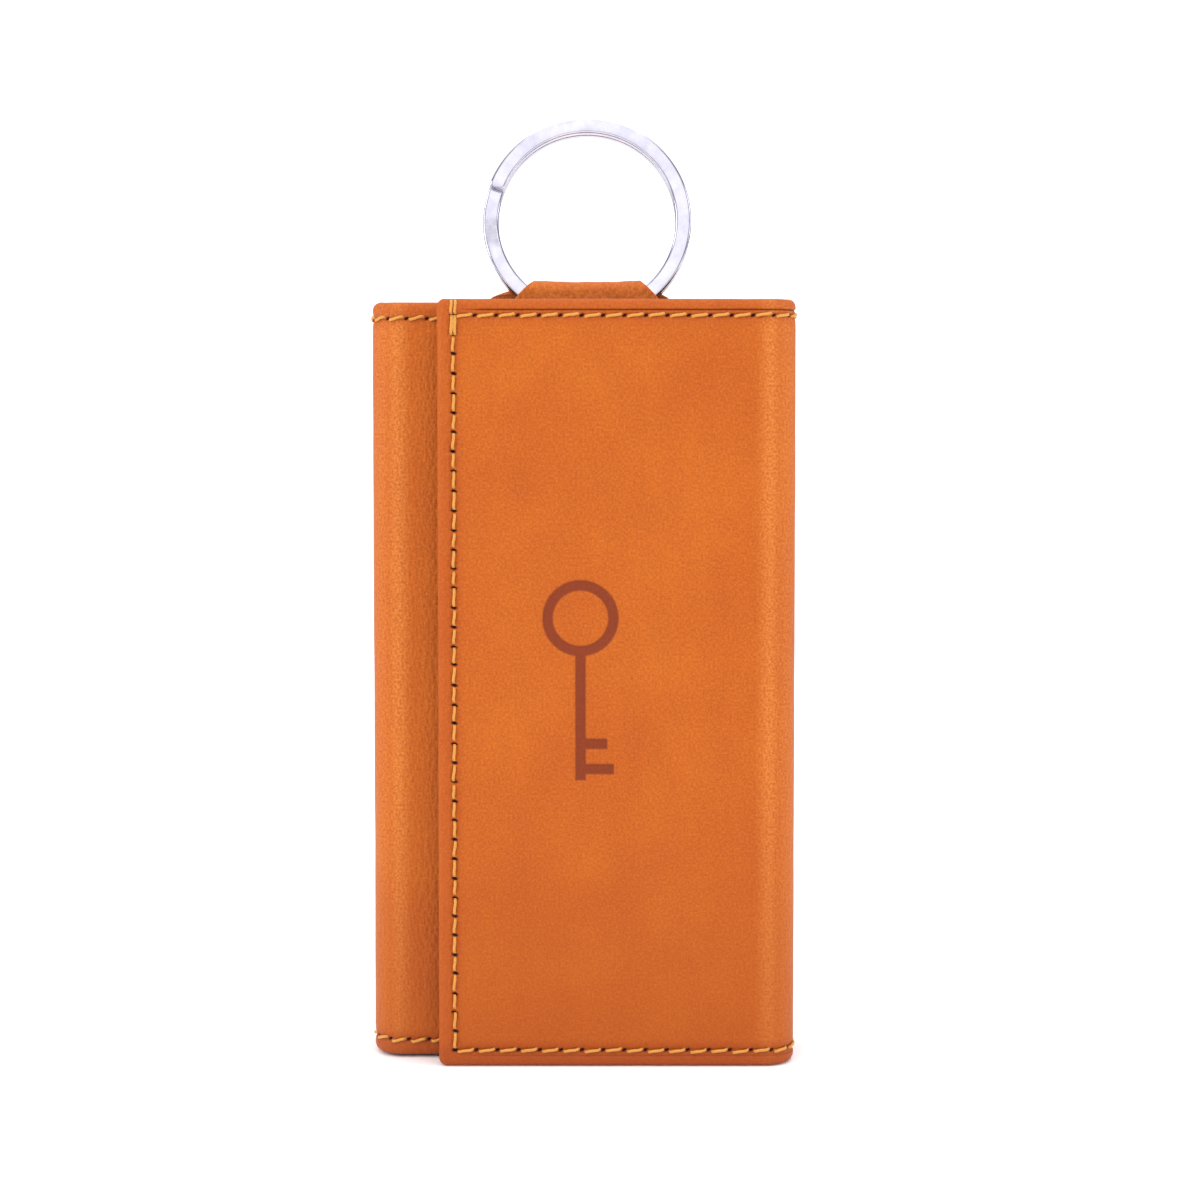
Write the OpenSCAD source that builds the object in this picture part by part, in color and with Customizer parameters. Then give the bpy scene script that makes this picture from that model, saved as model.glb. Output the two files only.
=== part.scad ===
// Leather key organiser: a tri-fold case that holds a bar of six swivel hooks,
// closed by two hidden press studs, with a split ring on a leather strap at its top.
// Millimetres. +Z is up and the front flap faces -Y. The origin is at the centre of
// the case on the surface that it stands on.

/* [Case] */
// Overall width across the two side folds
case_w = 64; // [58:1:90]
// Height of the back panel and of the front flap
case_h = 115; // [98:1:150]
// Overall thickness when it is closed
case_d = 19; // [18:0.5:26]
// Outside radius of the four leather folds
corner_r = 4.5; // [3.5:0.25:5.5]
// Distance from the left side of the case to the free edge of the front flap
flap_setback = 10.4; // [6:0.2:14]
// Distance from the left side of the case to the free edge of the left flap
left_flap_reach = 29.5; // [28:0.5:31]
// Space between the front flap and the left flap, which the press studs fill
flap_gap = 2; // [1.8:0.1:3]
// How far each end of the left flap stops short of the back panel's ends
left_flap_short = 0.3; // [0:0.1:1]
// Corner radius of a turned edge
edge_r = 1.2; // [1:0.1:3]

/* [Layers] */
// Thickness of the outer leather
skin_t = 0.9; // [0.7:0.1:1.4]
// Thickness of the stiffening board
board_t = 0.6; // [0.6:0.1:1]
// Thickness of the skived turn-in
lip_t = 0.4; // [0.3:0.1:0.6]
// Thickness of the lining
lining_t = 0.7; // [0.5:0.1:1]
// Width of the turn-in
lip_w = 7; // [5:0.5:7.5]
// How far the lining stops short of a turned edge
lining_inset = 1.5; // [1:0.25:2]

/* [Stitching] */
// Distance between stitch holes
stitch_pitch = 3.15; // [2.5:0.05:4]
// Visible length of a stitch
stitch_len = 2.3; // [1.5:0.1:2.4]
// Thread diameter
thread_d = 0.5; // [0.3:0.05:0.8]
// Distance from a turned edge to its stitching
stitch_inset = 2.5; // [2:0.1:3.5]

/* [Press studs] */
// Distance from each end of the case to its press stud
stud_end = 30; // [18:1:38]
// Flange radius of a stud
stud_flange_r = 4.5; // [4:0.25:5]
// Radius of a stud's head
stud_head_r = 2.2; // [1.8:0.1:2.4]
// Gap round a stud's head inside its socket
stud_play = 0.5; // [0.5:0.05:0.8]
// Radius of the posts that hold the studs and sockets
post_r = 1.2; // [1:0.1:1.4]

/* [Key bar] */
// How far the bar reaches past its outermost hooks
bar_end = 3.5; // [3:0.25:5]
// Height of the bar's back plate
bar_h = 12; // [11:0.5:16]
// Distance from the top of the case to the top of the bar
bar_drop = 19; // [18.5:0.5:24]
// Sheet thickness of the bar
bar_t = 1; // [0.8:0.1:1.2]
// Depth of the bar's channel
channel_d = 7; // [6.8:0.1:7.4]
// Height of the channel's front lip
channel_lip = 3.2; // [2.6:0.1:4]
// Radius of a rivet's shank
rivet_r = 1.1; // [0.9:0.1:1.3]
// Distance from each end of the bar to its rivet
rivet_inset = 4.5; // [4:0.25:8]

/* [Hooks] */
// Gap between neighbouring hooks, which lets them turn past each other
hook_gap = 1.2; // [1.1:0.1:2]
// Outside width of a hook
hook_w = 6.2; // [6:0.1:6.4]
// Length of a hook below its collar
hook_l = 24.5; // [20:0.5:30]
// Width of a hook's wire
wire_w = 1.3; // [1.1:0.1:1.4]
// Thickness of a hook
hook_t = 1.6; // [1.4:0.1:1.8]
// Radius of a hook's stem
stem_r = 1; // [0.8:0.1:1.2]
// Sheet thickness of a gate's ears
ear_t = 0.35; // [0.3:0.05:0.4]
// Thickness of a gate's leaf
leaf_t = 0.8; // [0.6:0.1:0.9]

/* [Ring] */
// Outside diameter of the split ring
ring_d = 32; // [28:1:34]
// Width of the ring's flat wire, seen from the front
ring_wire_w = 2.4; // [2:0.1:2.8]
// Thickness of one coil
ring_wire_t = 1.57; // [1.2:0.01:1.7]
// Distance from the centre of the case to the centre of the ring
ring_x = 0.6; // [-2:0.1:2]
// How far the ring leans back, in degrees
ring_lean = 8; // [0:1:12]

/* [Strap] */
// Width of the strap at its sewn end
strap_w = 24; // [20:0.5:26]
// Width of the strap's front layer where it leaves the case
strap_front_w = 22.8; // [20:0.2:24]
// Width of the strap's back layer where it leaves the case
strap_back_w = 28; // [24:0.5:30]
// Width of the strap at the fold that holds the ring
strap_fold_w = 19.5; // [16:0.5:20]
// Thickness of one layer of the strap
strap_t = 1; // [0.8:0.1:1.1]
// How far the strap's fold stands above the case
strap_rise = 2.9; // [2.4:0.1:4]
// Height of the strap's sewn end
anchor_h = 6.5; // [6:0.5:8]

/* [Hidden] */
$fn = 48;
hooks = 6;
least_r = 0.3;                                  // smallest corner radius of an inner layer
cut = 1;                                        // how far a cutting shape runs past a face

// Layers, counted from a panel's outer face
board_y = skin_t;
lip_y = board_y + board_t;
cover_t = lip_y + lip_t;
panel_t = cover_t + lining_t;

// Panels and folds
side_x = case_w / 2;
flat_x = side_x - corner_r;                     // where the flat panels meet the folds
back_y = case_d / 2;
front_y = -case_d / 2;
left_y = front_y + panel_t + flap_gap;          // outer face of the left flap
flap_edge_x = flap_setback - side_x;
left_edge_x = left_flap_reach - side_x;
front_w = flat_x - flap_edge_x;
left_w = left_edge_x + flat_x;
lining_face = back_y - panel_t;                 // inner face of the back lining
left_h = case_h - 2 * left_flap_short;

// Press studs
stud_x = (flap_edge_x + left_edge_x) / 2;       // in the middle of the flaps' overlap
stud_heights = [stud_end, case_h - stud_end];
hidden_play = 0.1;                              // over the metal that lies in the boards
cap_t = board_t - hidden_play;
socket_wall = 2.3;
socket_r = stud_head_r + stud_play + socket_wall;
socket_base_t = 0.4;
clinch_t = 0.2;
stud_flange_t = 0.5;
stud_head_gap = 0.1;                            // between a stud's head and the clinched post
stud_head_t = flap_gap - socket_base_t - clinch_t - stud_flange_t - stud_head_gap;
stud_taper = 0.35;
socket_gap = 0.2;                               // between a socket and its stud's flange
socket_t = flap_gap - stud_flange_t - socket_gap;
clinch_lip = 0.7;
post_end = 0.3;                                 // how far a post reaches into its stud's head
post_head_r = stud_flange_r - 0.3;
post_head_t = 0.3;                              // of its rim, and again of its chamfer
post_chamfer = 0.7;
hole_play = 0.1;
groove_depth = 0.8 * thread_d;                  // of the back's stitch grooves

// Key bar and hooks
hook_pitch = hook_w + hook_gap;
bar_w = (hooks - 1) * hook_pitch + 2 * bar_end;
bar_top = case_h - bar_drop;
bar_z = bar_top - bar_h;
hook_forward = 0.6;                             // hooks hang this far before the channel's middle
hook_y = lining_face - channel_d / 2 - hook_forward;
stem_play = 0.15;
head_ledge = 0.8;
head_r = stem_r + head_ledge;
head_t = 1;
collar_t = 1.15;
rivet_z = bar_z + 2 * bar_h / 3;
rivet_head_r = 2.4;
rivet_head_t = 0.8;
rivet_chamfer = 0.9;
channel_lip_t = 0.8;
washer_r = 3;
washer_t = board_t - hidden_play;
rivet_x = bar_w / 2 - rivet_inset;
slot_half = hook_w / 2 - wire_w;                // half the clear width inside a hook
hook_top = -collar_t - stem_play;
boss_h = 3.7;                                   // the solid top of a hook, where its gate's pin is
slot_top = hook_top - boss_h;
hook_bottom = hook_top - hook_l;
mouth = 9;                                      // height of the opening that the gate closes
gate_play = 0.15;
pin_r = 0.4;
pin_play = 0.05;
pin_inset = 0.2;
pin_x = slot_half - pin_inset;
pin_rise = 1.4;
pin_z = slot_top + pin_rise;
leaf_x = slot_half - gate_play - leaf_t;
leaf_drop = 0.45;                               // from the top of the slot to the leaf
leaf_top = slot_top - leaf_drop;
leaf_overlap = 1.6;                             // how far the leaf reaches past the mouth
leaf_bottom = slot_top - mouth - leaf_overlap;
ear_r = 1.1;
ear_w = 1.5;
ear_overlap = 1;                                // of an ear on the leaf
ear_play = 0.05;

// Ring and strap. The pivot is the line about which the ring and the strap's loop swing.
ring_r = ring_d / 2;
ring_in_r = ring_r - ring_wire_w;
coil_gap = 0.06;
ring_half_t = ring_wire_t + coil_gap / 2;
pocket_play = 0.3;                              // gap between the ring and the strap
loop_in = ring_half_t + pocket_play;
loop_out = loop_in + strap_t;
interior_y = (lining_face + left_y + panel_t) / 2;
pivot_y = interior_y;
pivot_drop = 0.7;                               // below the case's top
pivot_z = case_h - pivot_drop;
fold_top = strap_rise + pivot_drop;                    // above the pivot
fold_z = fold_top - loop_out;                   // centre of the fold's round
ring_sag = 0.35;                                // from the pivot down to the ring's inner edge
ring_drop = ring_wire_w + ring_sag;                 // the ring's lowest point, below the pivot
ring_z = ring_r - ring_drop;                    // ring centre above the pivot
under_ring = 0.15;
pocket_z = -ring_drop - under_ring;
loop_end_z = -6.3;
anchor_z = bar_top + 1.5;
anchor_top = anchor_z + anchor_h;
anchor_y = lining_face - 2 * strap_t;
loop_end_y = pivot_y + loop_end_z * sin(ring_lean);
loop_end_height = pivot_z + loop_end_z * cos(ring_lean);

// Split ring: one wire wound for nearly two turns, stepping from the front coil to the back one
coil_start = 160;                               // where the front coil's end is, in degrees
coil_turn = 668;
step_from = 312;
step_to = 354;
coil_parts = 134;

tan_leather = [0.84, 0.43, 0.17];
lining_leather = [0.55, 0.32, 0.17];
thread_yellow = [0.93, 0.72, 0.29];

// ---- Panels -------------------------------------------------------------------------

// A panel's outline in X and Z, inset from its turned edges. The free edge is at x = 0.
module outline(w, h, inset, free) {
    x0 = free ? inset : 0;
    r = max(edge_r - inset, least_r);
    if (free) {
        translate([x0 + r, inset]) square([w - x0 - r, h - 2 * inset]);
        translate([x0, inset + r]) square([w - x0, h - 2 * inset - 2 * r]);
        for (z = [inset + r, h - inset - r])
            translate([x0 + r, z]) circle(r);
    } else {
        translate([0, inset]) square([w, h - 2 * inset]);
    }
}

// A flat layer of a panel between two depths from the outer face
module layer(w, h, inset, free, from, to) {
    translate([0, to, 0]) rotate([90, 0, 0]) linear_extrude(to - from)
        outline(w, h, inset, free);
}

// Outer leather with its edges turned in round the board
module cover(w, h, free) {
    color(tan_leather) difference() {
        layer(w, h, 0, free, 0, cover_t);
        layer(w, h, skin_t, free, board_y, lip_y);
        layer(w, h, lip_w, free, lip_y, cover_t + cut);
    }
}

module board(w, h, free) {
    color("tan") layer(w, h, skin_t, free, board_y, lip_y);
}

// The lining covers the turn-ins, and its middle lies down on the board
module lining(w, h, free) {
    color(lining_leather) union() {
        layer(w, h, lining_inset, free, cover_t, panel_t);
        layer(w, h, lip_w, free, lip_y, cover_t);
    }
}

// A round hole through a panel's layers
module panel_hole(x, z, r, from, to) {
    translate([x, from, z]) rotate([-90, 0, 0]) cylinder(r = r, h = to - from);
}

module at_front_flap() {
    translate([flap_edge_x, front_y, 0]) children();
}

module at_left_flap() {
    translate([left_edge_x, left_y, left_flap_short]) mirror([1, 0, 0]) children();
}

module at_back() {
    translate([flat_x, back_y, 0]) rotate([0, 0, 180]) children();
}

// ---- Stitching ----------------------------------------------------------------------

// One stitch lying along +X from its start
module stitch() {
    color(thread_yellow) rotate([0, 90, 0]) cylinder(d = thread_d, h = stitch_len, $fn = 16);
}

// A row of stitches along +X, centred in a run of the given length
module stitch_row(run) {
    count = floor(run / stitch_pitch);
    start = (run - count * stitch_pitch + stitch_pitch - stitch_len) / 2;
    for (i = [0 : count - 1])
        translate([start + i * stitch_pitch, 0, 0]) stitch();
}

// The rows near both ends of a panel, and down its free edge, on one of its faces
module panel_stitches(w, h, free, y) {
    x0 = free ? stitch_inset : 0;
    for (z = [stitch_inset, h - stitch_inset])
        translate([x0, y, z]) stitch_row(w - x0);
    if (free)
        translate([stitch_inset, y, stitch_inset]) rotate([0, -90, 0]) stitch_row(h - 2 * stitch_inset);
}

module panel_stitching(w, h, free) {
    panel_stitches(w, h, free, 0);
    panel_stitches(w, h, free, panel_t);
}

// ---- Back panel ---------------------------------------------------------------------

// The outer rows on the back are drawn level with the leather, in a groove, so that it lies flat
module back_cover() {
    groove_w = thread_d + hole_play;
    difference() {
        at_back() cover(2 * flat_x, case_h, false);
        at_back() for (z = [stitch_inset, case_h - stitch_inset])
            translate([-cut, -cut, z - groove_w / 2])
                cube([2 * (flat_x + cut), groove_depth + cut, groove_w]);
    }
}

module back_board() {
    difference() {
        at_back() board(2 * flat_x, case_h, false);
        at_back() for (x = [flat_x - rivet_x, flat_x + rivet_x])
            panel_hole(x, rivet_z, washer_r + hole_play, board_y - cut, lip_y + cut);
    }
}

module back_lining() {
    difference() {
        at_back() lining(2 * flat_x, case_h, false);
        at_back() for (x = [flat_x - rivet_x, flat_x + rivet_x])
            panel_hole(x, rivet_z, rivet_r, lip_y - cut, panel_t + cut);
    }
}

module back_stitching() {
    at_back() {
        panel_stitches(2 * flat_x, case_h, false, thread_d / 2);
        panel_stitches(2 * flat_x, case_h, false, panel_t);
    }
}

// ---- Flaps --------------------------------------------------------------------------

module front_flap_cover() { at_front_flap() cover(front_w, case_h, true); }

module front_flap_board() {
    difference() {
        at_front_flap() board(front_w, case_h, true);
        at_front_flap() for (z = stud_heights)
            panel_hole(stud_x - flap_edge_x, z, stud_flange_r + hole_play, board_y - cut, lip_y + cut);
    }
}

module front_flap_lining() {
    difference() {
        at_front_flap() lining(front_w, case_h, true);
        at_front_flap() for (z = stud_heights)
            panel_hole(stud_x - flap_edge_x, z, post_r, lip_y - cut, panel_t + cut);
    }
}

module front_flap_stitching() { at_front_flap() panel_stitching(front_w, case_h, true); }

// The holes that the stud posts pass through
module left_flap_holes() {
    at_left_flap() for (z = stud_heights)
        panel_hole(left_edge_x - stud_x, z - left_flap_short, post_r, -cut, panel_t + cut);
}

module left_flap_cover() {
    difference() {
        at_left_flap() cover(left_w, left_h, true);
        left_flap_holes();
    }
}

module left_flap_board() {
    difference() {
        at_left_flap() board(left_w, left_h, true);
        left_flap_holes();
    }
}

module left_flap_lining() {
    difference() {
        at_left_flap() lining(left_w, left_h, true);
        left_flap_holes();
    }
}

module left_flap_stitching() { at_left_flap() panel_stitching(left_w, left_h, true); }

// ---- Spines and folds ---------------------------------------------------------------

// A flat strip of a side wall: layers from the outer face at x = side, between two depths
module side_strip(side, y0, y1, inset, from, to) {
    x = side > 0 ? side_x - to : -side_x + from;
    translate([x, y0, inset]) cube([to - from, y1 - y0, case_h - 2 * inset]);
}

// A quarter turn of leather or lining round a fold, whose panels lie towards the given quadrant
module fold_arc(x, y, turn, h, z, inset, from, to) {
    translate([x, y, z + inset]) rotate([0, 0, turn]) rotate_extrude(angle = 90, $fn = 96)
        translate([corner_r - to, 0]) square([to - from, h - 2 * inset]);
}

right_arc_front = [flat_x, front_y + corner_r];
right_arc_back = [flat_x, back_y - corner_r];
left_arc_front = [-flat_x, left_y + corner_r];
left_arc_back = [-flat_x, back_y - corner_r];

module right_folds(inset, from, to) {
    fold_arc(right_arc_back[0], right_arc_back[1], 0, case_h, 0, inset, from, to);
    fold_arc(right_arc_front[0], right_arc_front[1], 270, case_h, 0, inset, from, to);
}

module left_folds(inset, from, to) {
    fold_arc(left_arc_back[0], left_arc_back[1], 90, case_h, 0, inset, from, to);
    fold_arc(left_arc_front[0], left_arc_front[1], 180, left_h, left_flap_short, inset, from, to);
}

module right_spine_leather() {
    color(tan_leather) side_strip(1, right_arc_front[1], right_arc_back[1], 0, 0, cover_t);
}

module right_spine_lining() {
    color(lining_leather) side_strip(1, right_arc_front[1], right_arc_back[1], lining_inset, cover_t, panel_t);
}

module right_fold_leather() { color(tan_leather) right_folds(0, 0, cover_t); }

module right_fold_lining() { color(lining_leather) right_folds(lining_inset, cover_t, panel_t); }

module left_spine_leather() {
    color(tan_leather) side_strip(-1, left_arc_front[1], left_arc_back[1], 0, 0, cover_t);
}

module left_spine_lining() {
    color(lining_leather) side_strip(-1, left_arc_front[1], left_arc_back[1], lining_inset, cover_t, panel_t);
}

module left_fold_leather() { color(tan_leather) left_folds(0, 0, cover_t); }

module left_fold_lining() { color(lining_leather) left_folds(lining_inset, cover_t, panel_t); }

// Stitches near both ends of a side wall, on both of its faces
module spine_stitches(side, y0, y1) {
    for (z = [stitch_inset, case_h - stitch_inset], x = [side_x, side_x - panel_t])
        translate([side * x, y0, z]) rotate([0, 0, 90]) stitch_row(y1 - y0);
}

module right_spine_stitching() { spine_stitches(1, right_arc_front[1], right_arc_back[1]); }

module left_spine_stitching() { spine_stitches(-1, left_arc_front[1], left_arc_back[1]); }

// ---- Press studs --------------------------------------------------------------------

// Places a round part whose axis runs through the front flap, from its outer face inwards
module at_stud(z, from) {
    translate([stud_x, front_y + from, z]) rotate([-90, 0, 0]) children();
}

// Flat caps that lie hidden under the front flap's leather, with the posts that hold the sockets
module stud_caps() {
    color("silver") for (z = stud_heights) {
        at_stud(z, board_y) cylinder(r = stud_flange_r, h = cap_t);
        at_stud(z, board_y) cylinder(r = post_r, h = panel_t - board_y + socket_base_t);
        at_stud(z, panel_t + socket_base_t) cylinder(r = post_r + clinch_lip, h = clinch_t);
    }
}

module stud_sockets() {
    color("silver") for (z = stud_heights) at_stud(z, panel_t) difference() {
        cylinder(r = socket_r, h = socket_t);
        translate([0, 0, -cut]) cylinder(r = post_r, h = socket_base_t + 2 * cut);
        translate([0, 0, socket_base_t]) cylinder(r = stud_head_r + stud_play, h = socket_t);
    }
}

// The studs stand on the left flap's outer face and point forwards
module studs() {
    color("silver") for (z = stud_heights) translate([stud_x, left_y, z]) rotate([90, 0, 0])
        difference() {
            union() {
                cylinder(r = stud_flange_r, h = stud_flange_t);
                cylinder(r = stud_head_r, h = stud_flange_t + stud_head_t / 2);
                translate([0, 0, stud_flange_t + stud_head_t / 2])
                    cylinder(r1 = stud_head_r, r2 = stud_head_r - stud_taper, h = stud_head_t / 2);
            }
            translate([0, 0, -cut]) cylinder(r = post_r, h = stud_flange_t + cut + post_end);
        }
}

// Posts with a flat head on the left flap's lining, clinched inside the studs
module stud_posts() {
    color("silver") for (z = stud_heights) translate([stud_x, left_y, z]) rotate([-90, 0, 0]) {
        translate([0, 0, -stud_flange_t - post_end])
            cylinder(r = post_r, h = panel_t + stud_flange_t + post_end);
        translate([0, 0, panel_t]) cylinder(r = post_head_r, h = post_head_t);
        translate([0, 0, panel_t + post_head_t])
            cylinder(r1 = post_head_r, r2 = post_head_r - post_chamfer, h = post_head_t);
    }
}

// ---- Key bar and rivets -------------------------------------------------------------

module key_bar() {
    corner = 2;
    color("silver") difference() {
        union() {
            translate([-bar_w / 2, lining_face - bar_t, bar_z])
                cube([bar_w, bar_t, bar_h - corner]);
            translate([-bar_w / 2 + corner, lining_face - bar_t, bar_z])
                cube([bar_w - 2 * corner, bar_t, bar_h]);
            for (side = [-1, 1])
                translate([side * (bar_w / 2 - corner), lining_face, bar_top - corner]) rotate([90, 0, 0])
                    cylinder(r = corner, h = bar_t);
            translate([-bar_w / 2, lining_face - channel_d, bar_z]) cube([bar_w, channel_d, bar_t]);
            translate([-bar_w / 2, lining_face - channel_d, bar_z]) cube([bar_w, channel_lip_t, channel_lip]);
        }
        for (i = [1 : hooks])
            translate([hook_x(i), hook_y, bar_z - cut]) cylinder(r = stem_r + stem_play, h = bar_t + 2 * cut);
        for (side = [-1, 1])
            translate([side * rivet_x, lining_face + cut, rivet_z]) rotate([90, 0, 0])
                cylinder(r = rivet_r, h = bar_t + 2 * cut);
    }
}

module bar_rivets() {
    shank = bar_t + lining_t + lip_t + washer_t;
    color("silver") for (side = [-1, 1])
        translate([side * rivet_x, lining_face - bar_t, rivet_z]) rotate([-90, 0, 0]) {
            cylinder(r = rivet_r, h = shank);
            translate([0, 0, -rivet_head_t / 2]) cylinder(r = rivet_head_r, h = rivet_head_t / 2);
            translate([0, 0, -rivet_head_t])
                cylinder(r1 = rivet_head_r - rivet_chamfer, r2 = rivet_head_r, h = rivet_head_t / 2);
        }
}

module rivet_washers() {
    color("silver") for (side = [-1, 1])
        translate([side * rivet_x, back_y - lip_y, rivet_z]) rotate([-90, 0, 0]) difference() {
            cylinder(r = washer_r, h = washer_t);
            translate([0, 0, -cut]) cylinder(r = rivet_r, h = washer_t + 2 * cut);
        }
}

// ---- Hooks and gates ----------------------------------------------------------------

function hook_x(i) = (i - (hooks + 1) / 2) * hook_pitch;

// A slot shape in X and Z with round ends
module slot_shape(half, top, bottom) {
    translate([-half, bottom + half]) square([2 * half, top - bottom - 2 * half]);
    for (z = [top - half, bottom + half]) translate([0, z]) circle(half);
}

// The inside of a hook: square at its top and round at its bottom
module hook_inside() {
    translate([-slot_half, hook_bottom + hook_w / 2])
        square([2 * slot_half, slot_top - hook_bottom - hook_w / 2]);
    translate([0, hook_bottom + hook_w / 2]) circle(slot_half);
}

module along_y(thickness) {
    translate([0, thickness / 2, 0]) rotate([90, 0, 0]) linear_extrude(thickness) children();
}

// A hook hangs by its stem's head in the bar's channel. Its own z = 0 is the bar's underside.
module hook(i) {
    color("silver") translate([hook_x(i), hook_y, bar_z]) {
        translate([0, 0, bar_t + stem_play]) cylinder(r = head_r, h = head_t);
        translate([0, 0, hook_top - 1]) cylinder(r = stem_r, h = bar_t + stem_play + 1.5 - hook_top);
        translate([0, 0, hook_top]) cylinder(r = head_r, h = collar_t);
        difference() {
            along_y(hook_t) difference() {
                slot_shape(hook_w / 2, hook_top, hook_bottom);
                hook_inside();
                translate([slot_half - 0.01, slot_top - mouth]) square([wire_w + cut, mouth]);
            }
            translate([pin_x, 0, pin_z]) rotate([90, 0, 0])
                cylinder(r = pin_r + pin_play, h = hook_t + 2 * cut, center = true);
        }
        translate([slot_half + wire_w / 2, 0, slot_top - mouth]) rotate([90, 0, 0])
            cylinder(r = wire_w / 2, h = hook_t, center = true);
    }
}

// A folded gate: two ears, a leaf between them and the pin that it turns on
module gate(i) {
    gate_w = hook_t + 2 * (ear_t + ear_play);
    color("gainsboro") translate([hook_x(i), hook_y, bar_z]) {
        for (side = [-1, 1]) translate([0, side * (gate_w - ear_t) / 2, 0]) along_y(ear_t) {
            translate([pin_x, pin_z]) circle(ear_r);
            translate([leaf_x, leaf_top - ear_overlap]) square([ear_w, pin_z - leaf_top + ear_overlap]);
        }
        along_y(gate_w) translate([leaf_x, leaf_bottom]) square([leaf_t, leaf_top - leaf_bottom]);
        translate([pin_x, 0, pin_z]) rotate([90, 0, 0]) cylinder(r = pin_r, h = gate_w, center = true);
    }
}

// ---- Strap --------------------------------------------------------------------------

// Extrudes a shape drawn in Y and Z to a width along X, centred on the ring
module strap_section(w) {
    translate([ring_x - w / 2, 0, 0]) rotate([90, 0, 90]) linear_extrude(w) children();
}

module strap_anchor() {
    color(tan_leather) strap_section(strap_w)
        translate([anchor_y, anchor_z]) square([2 * strap_t, anchor_h]);
}

// The free length between the sewn end and the loop, which bends as the ring swings
module strap_tail() {
    t = strap_t * cos(ring_lean);
    s = strap_t * sin(ring_lean);
    color(tan_leather) strap_section(strap_w) polygon([
        [anchor_y, anchor_top], [lining_face, anchor_top],
        [loop_end_y + t, loop_end_height - s], [loop_end_y - t, loop_end_height + s]
    ]);
}

// The loop's side view about the pivot, as wide as the given half thickness at the ring
module loop_side(half, neck, end) {
    translate([0, fold_z]) circle(half);
    polygon([[-half, fold_z], [-half, pocket_z], [-neck, end], [neck, end], [half, pocket_z], [half, fold_z]]);
}

// The loop's front view about the pivot: it widens from the fold down to the case's top edge
module loop_front(top_w, exit_w) {
    exit_z = case_h - pivot_z;
    polygon([
        [-top_w / 2, fold_top + cut], [-top_w / 2, fold_top - 0.5], [-exit_w / 2, exit_z],
        [-strap_w / 2, loop_end_z], [strap_w / 2, loop_end_z], [exit_w / 2, exit_z],
        [top_w / 2, fold_top - 0.5], [top_w / 2, fold_top + cut]
    ]);
}

// Half of the loop: the layer in front of the ring or the one behind it
module loop_layer(front, exit_w) {
    intersection() {
        translate([-strap_back_w, 0, 0]) rotate([90, 0, 90]) linear_extrude(2 * strap_back_w) difference() {
            loop_side(loop_out, strap_t, loop_end_z);
            loop_side(loop_in, 0.01, loop_end_z + 0.8);
            translate([front ? 0 : -2 * loop_out, loop_end_z - cut]) square([2 * loop_out, 4 * loop_out]);
        }
        rotate([90, 0, 0]) linear_extrude(4 * loop_out, center = true) loop_front(strap_fold_w, exit_w);
    }
}

module strap_loop() {
    color(tan_leather) translate([ring_x, pivot_y, pivot_z]) rotate([-ring_lean, 0, 0]) difference() {
        union() {
            loop_layer(true, strap_front_w);
            loop_layer(false, strap_back_w);
        }
        translate([0, 0, ring_z]) rotate([90, 0, 0]) difference() {
            cylinder(r = ring_r + pocket_play, h = 2 * loop_in, center = true, $fn = 96);
            cylinder(r = ring_in_r - pocket_play, h = 2 * loop_in + 2 * cut, center = true, $fn = 96);
        }
    }
}

// Two rows of stitches across the strap's sewn end
module strap_stitching() {
    from_edge = 1.5;
    from_side = 1;
    for (z = [anchor_z + from_edge, anchor_top - from_edge])
        translate([ring_x - strap_w / 2 + from_side, anchor_y, z]) stitch_row(strap_w - 2 * from_side);
}

// ---- Split ring ---------------------------------------------------------------------

function smooth(t) = t <= 0 ? 0 : t >= 1 ? 1 : t * t * (3 - 2 * t);

// Depth of the wire's centre after a turn of so many degrees: front coil first, then the back one
function coil_y(turn) =
    (ring_wire_t + coil_gap) * (smooth((turn - step_from) / (step_to - step_from)) - 0.5);

// The four corners of the wire's section at one point along it
function coil_section(turn) =
    let (a = coil_start - turn, y = coil_y(turn), h = ring_wire_t / 2)
    [for (c = [[ring_in_r, -h], [ring_r, -h], [ring_r, h], [ring_in_r, h]])
        [c[0] * cos(a), y + c[1], c[0] * sin(a)]];

module split_ring() {
    points = [for (i = [0 : coil_parts], p = coil_section(i * coil_turn / coil_parts)) p];
    last = 4 * coil_parts;
    sides = [for (i = [0 : coil_parts - 1], k = [0 : 3])
        [4 * i + k, 4 * i + (k + 1) % 4, 4 * i + 4 + (k + 1) % 4, 4 * i + 4 + k]];
    ends = [[3, 2, 1, 0], [last, last + 1, last + 2, last + 3]];
    color("silver") translate([ring_x, pivot_y, pivot_z]) rotate([-ring_lean, 0, 0])
        translate([0, 0, ring_z]) polyhedron(points, concat(sides, ends), convexity = 8);
}

// ---- Nodes --------------------------------------------------------------------------

back_cover();
back_board();
back_lining();
back_stitching();
right_spine_leather();
right_spine_lining();
right_fold_leather();
right_fold_lining();
right_spine_stitching();
left_spine_leather();
left_spine_lining();
left_fold_leather();
left_fold_lining();
left_spine_stitching();
front_flap_cover();
front_flap_board();
front_flap_lining();
front_flap_stitching();
left_flap_cover();
left_flap_board();
left_flap_lining();
left_flap_stitching();
stud_caps();
stud_sockets();
studs();
stud_posts();
key_bar();
bar_rivets();
rivet_washers();
hook(1);  // hook_1
hook(2);  // hook_2
hook(3);  // hook_3
hook(4);  // hook_4
hook(5);  // hook_5
hook(6);  // hook_6
gate(1);  // gate_1
gate(2);  // gate_2
gate(3);  // gate_3
gate(4);  // gate_4
gate(5);  // gate_5
gate(6);  // gate_6
strap_anchor();
strap_tail();
strap_loop();
strap_stitching();
split_ring();
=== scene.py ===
import math

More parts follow.
